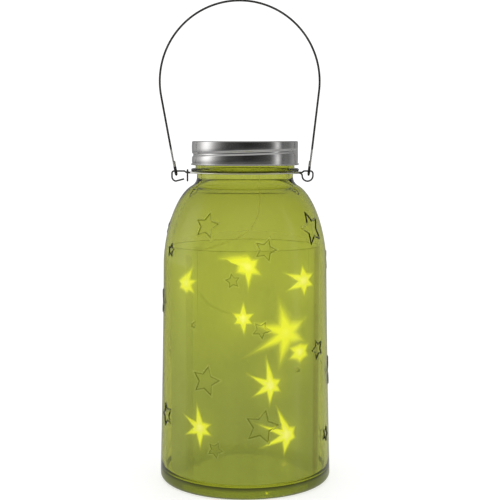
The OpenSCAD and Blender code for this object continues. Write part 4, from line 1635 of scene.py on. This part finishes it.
@dataclass
class Studio:
    """Pale floor, soft light and the camera."""

    back_light: float = 1.12
    room_light: float = 1.0
    overhead: float = 0.62
    overhead_from: tuple[float, float] = (0.35, 0.80)
    underneath: float = 0.55
    underneath_from: tuple[float, float] = (0.08, 0.40)
    left_dimming: float = 0.55
    left_from: tuple[float, float] = (0.2, 0.5)
    left_below: tuple[float, float] = (0.03, 0.09)
    floor_grey: float = 0.49
    floor_r: float = 3.0
    floor_tones: tuple[Colour, Colour] = ((0.50, 0.50, 0.49), (0.48, 0.48, 0.47))
    camera_at: Point = (3.35, -753.3, 229.0)
    camera_dip: float = 5.5636
    lens: float = 80.57
    sensor: float = 36.0
    surround: tuple[tuple[float, float], ...] = (
        (-180, 0.30), (-150, 0.35), (-128, 0.60), (-114, 0.75), (-100, 1.70), (-92, 2.00), (-84, 1.80),
        (-75, 1.00), (-65, 0.48), (-50, 0.17), (-38, 0.08), (-20, 0.06), (0, 0.03), (12, 0.03), (24, 0.04),
        (44, 0.07), (58, 0.11), (67, 0.45), (75, 1.30), (81, 0.55), (87, 0.10), (97, 0.24), (108, 0.20),
        (126, 0.42), (140, 0.38), (180, 0.30),
    )

    def light_world(self) -> None:
        """Lights the scene with a white surround. Gloss sees it as soft boxes round the object:
        a bright one on the left, a small one on the right and a dark room in front."""
        world = bpy.data.worlds.new("studio")
        bpy.context.scene.world = world
        world.use_nodes = True
        bench = NodeBench(world.node_tree)
        back = world.node_tree.nodes["Background"]
        ray = {
            name: bench.add("ShaderNodeLightPath", output=f"Is {name} Ray")
            for name in ("Camera", "Transmission", "Glossy")
        }
        facing = bench.add("ShaderNodeTexCoord", output="Generated")
        side, depth, rise = (bench.add("ShaderNodeSeparateXYZ", {}, {0: facing}, axis) for axis in "XYZ")
        turn = side.maths("ARCTAN2", side, -depth) / (2 * math.pi) + 0.5
        stops = [((angle + 180) / 360, (light / 2, light / 2, light / 2)) for angle, light in self.surround]
        boxes = bench.add("ShaderNodeValToRGB", {"stops": stops}, {0: turn})
        level = bench.add("ShaderNodeSeparateXYZ", {}, {0: boxes}) * 2
        high = rise.step(*self.overhead_from)
        deep = (-rise).step(*self.underneath_from)
        left = (-side).step(*self.left_from) * (-rise).step(*self.left_below)
        level = level * (1 - left * self.left_dimming)
        gloss = level * (1 - high.most(deep)) + high * self.overhead + deep * self.underneath
        plain = ray["Camera"].most(ray["Transmission"])
        strength = plain * self.back_light + (1 - plain) * (1 - ray["Glossy"]) * self.room_light
        strength = strength + (1 - plain) * ray["Glossy"] * gloss
        world.node_tree.links.new(strength.socket, back.inputs["Strength"])
        back.inputs["Color"].default_value = (1.0, 1.0, 1.0, 1.0)
        world.cycles.sampling_method = "NONE"

    def add_floor(self) -> None:
        """Lays the pale floor, which glows a little so that it meets the surround without an edge."""
        bm = bmesh.new()
        bmesh.ops.create_circle(bm, cap_ends=True, segments=96, radius=self.floor_r)
        floor = as_object(bm, "floor")
        f = Finisher("pale floor")
        f.constant(Roughness=0.6)
        f.feed("Base Color", f.blend(f.noise(3.0), *self.floor_tones))
        glow = self.back_light - self.floor_grey * self.room_light
        f.constant(Emission_Color=(1.0, 1.0, 1.0), Emission_Strength=glow)
        floor.data.materials.append(f.material)
        floor.visible_glossy = False

    def add_camera(self) -> None:
        """Makes the scene's camera."""
        data = bpy.data.cameras.new("camera")
        data.lens = self.lens
        data.sensor_width = self.sensor
        camera = bpy.data.objects.new("camera", data)
        camera.location = Vector(self.camera_at) * MM
        camera.rotation_euler = (math.radians(90 - self.camera_dip), 0.0, 0.0)
        bpy.context.scene.collection.objects.link(camera)
        bpy.context.scene.camera = camera

    def build(self) -> None:
        """Builds the studio."""
        bpy.context.scene.view_settings.view_transform = "Standard"
        self.light_world()
        self.add_floor()
        self.add_camera()


# ------------------------------------------------------------------ assembly


def main() -> None:
    """Builds the lantern and its studio."""
    logging.basicConfig(level=logging.INFO, format="%(name)s: %(message)s")
    fittings = WireFittings()
    steps: list[tuple[str, Callable]] = [
        ("jar", Jar().build),
        ("film", StarFilm().build),
        ("neck wire", fittings.build_neck_wire),
        ("bail", fittings.build_bail),
        ("screw band", ScrewBand().build),
        ("light unit", dress_light_unit),
        ("light string", LightString().build),
        ("studio", Studio().build),
    ]
    for name, build in steps:
        made = build()
        pieces = made if isinstance(made, list) else [made] if made else []
        for piece in pieces:
            log.info("%s: %s, %d faces", name, piece.name, len(piece.data.polygons))


if __name__ == "__main__":
    main()
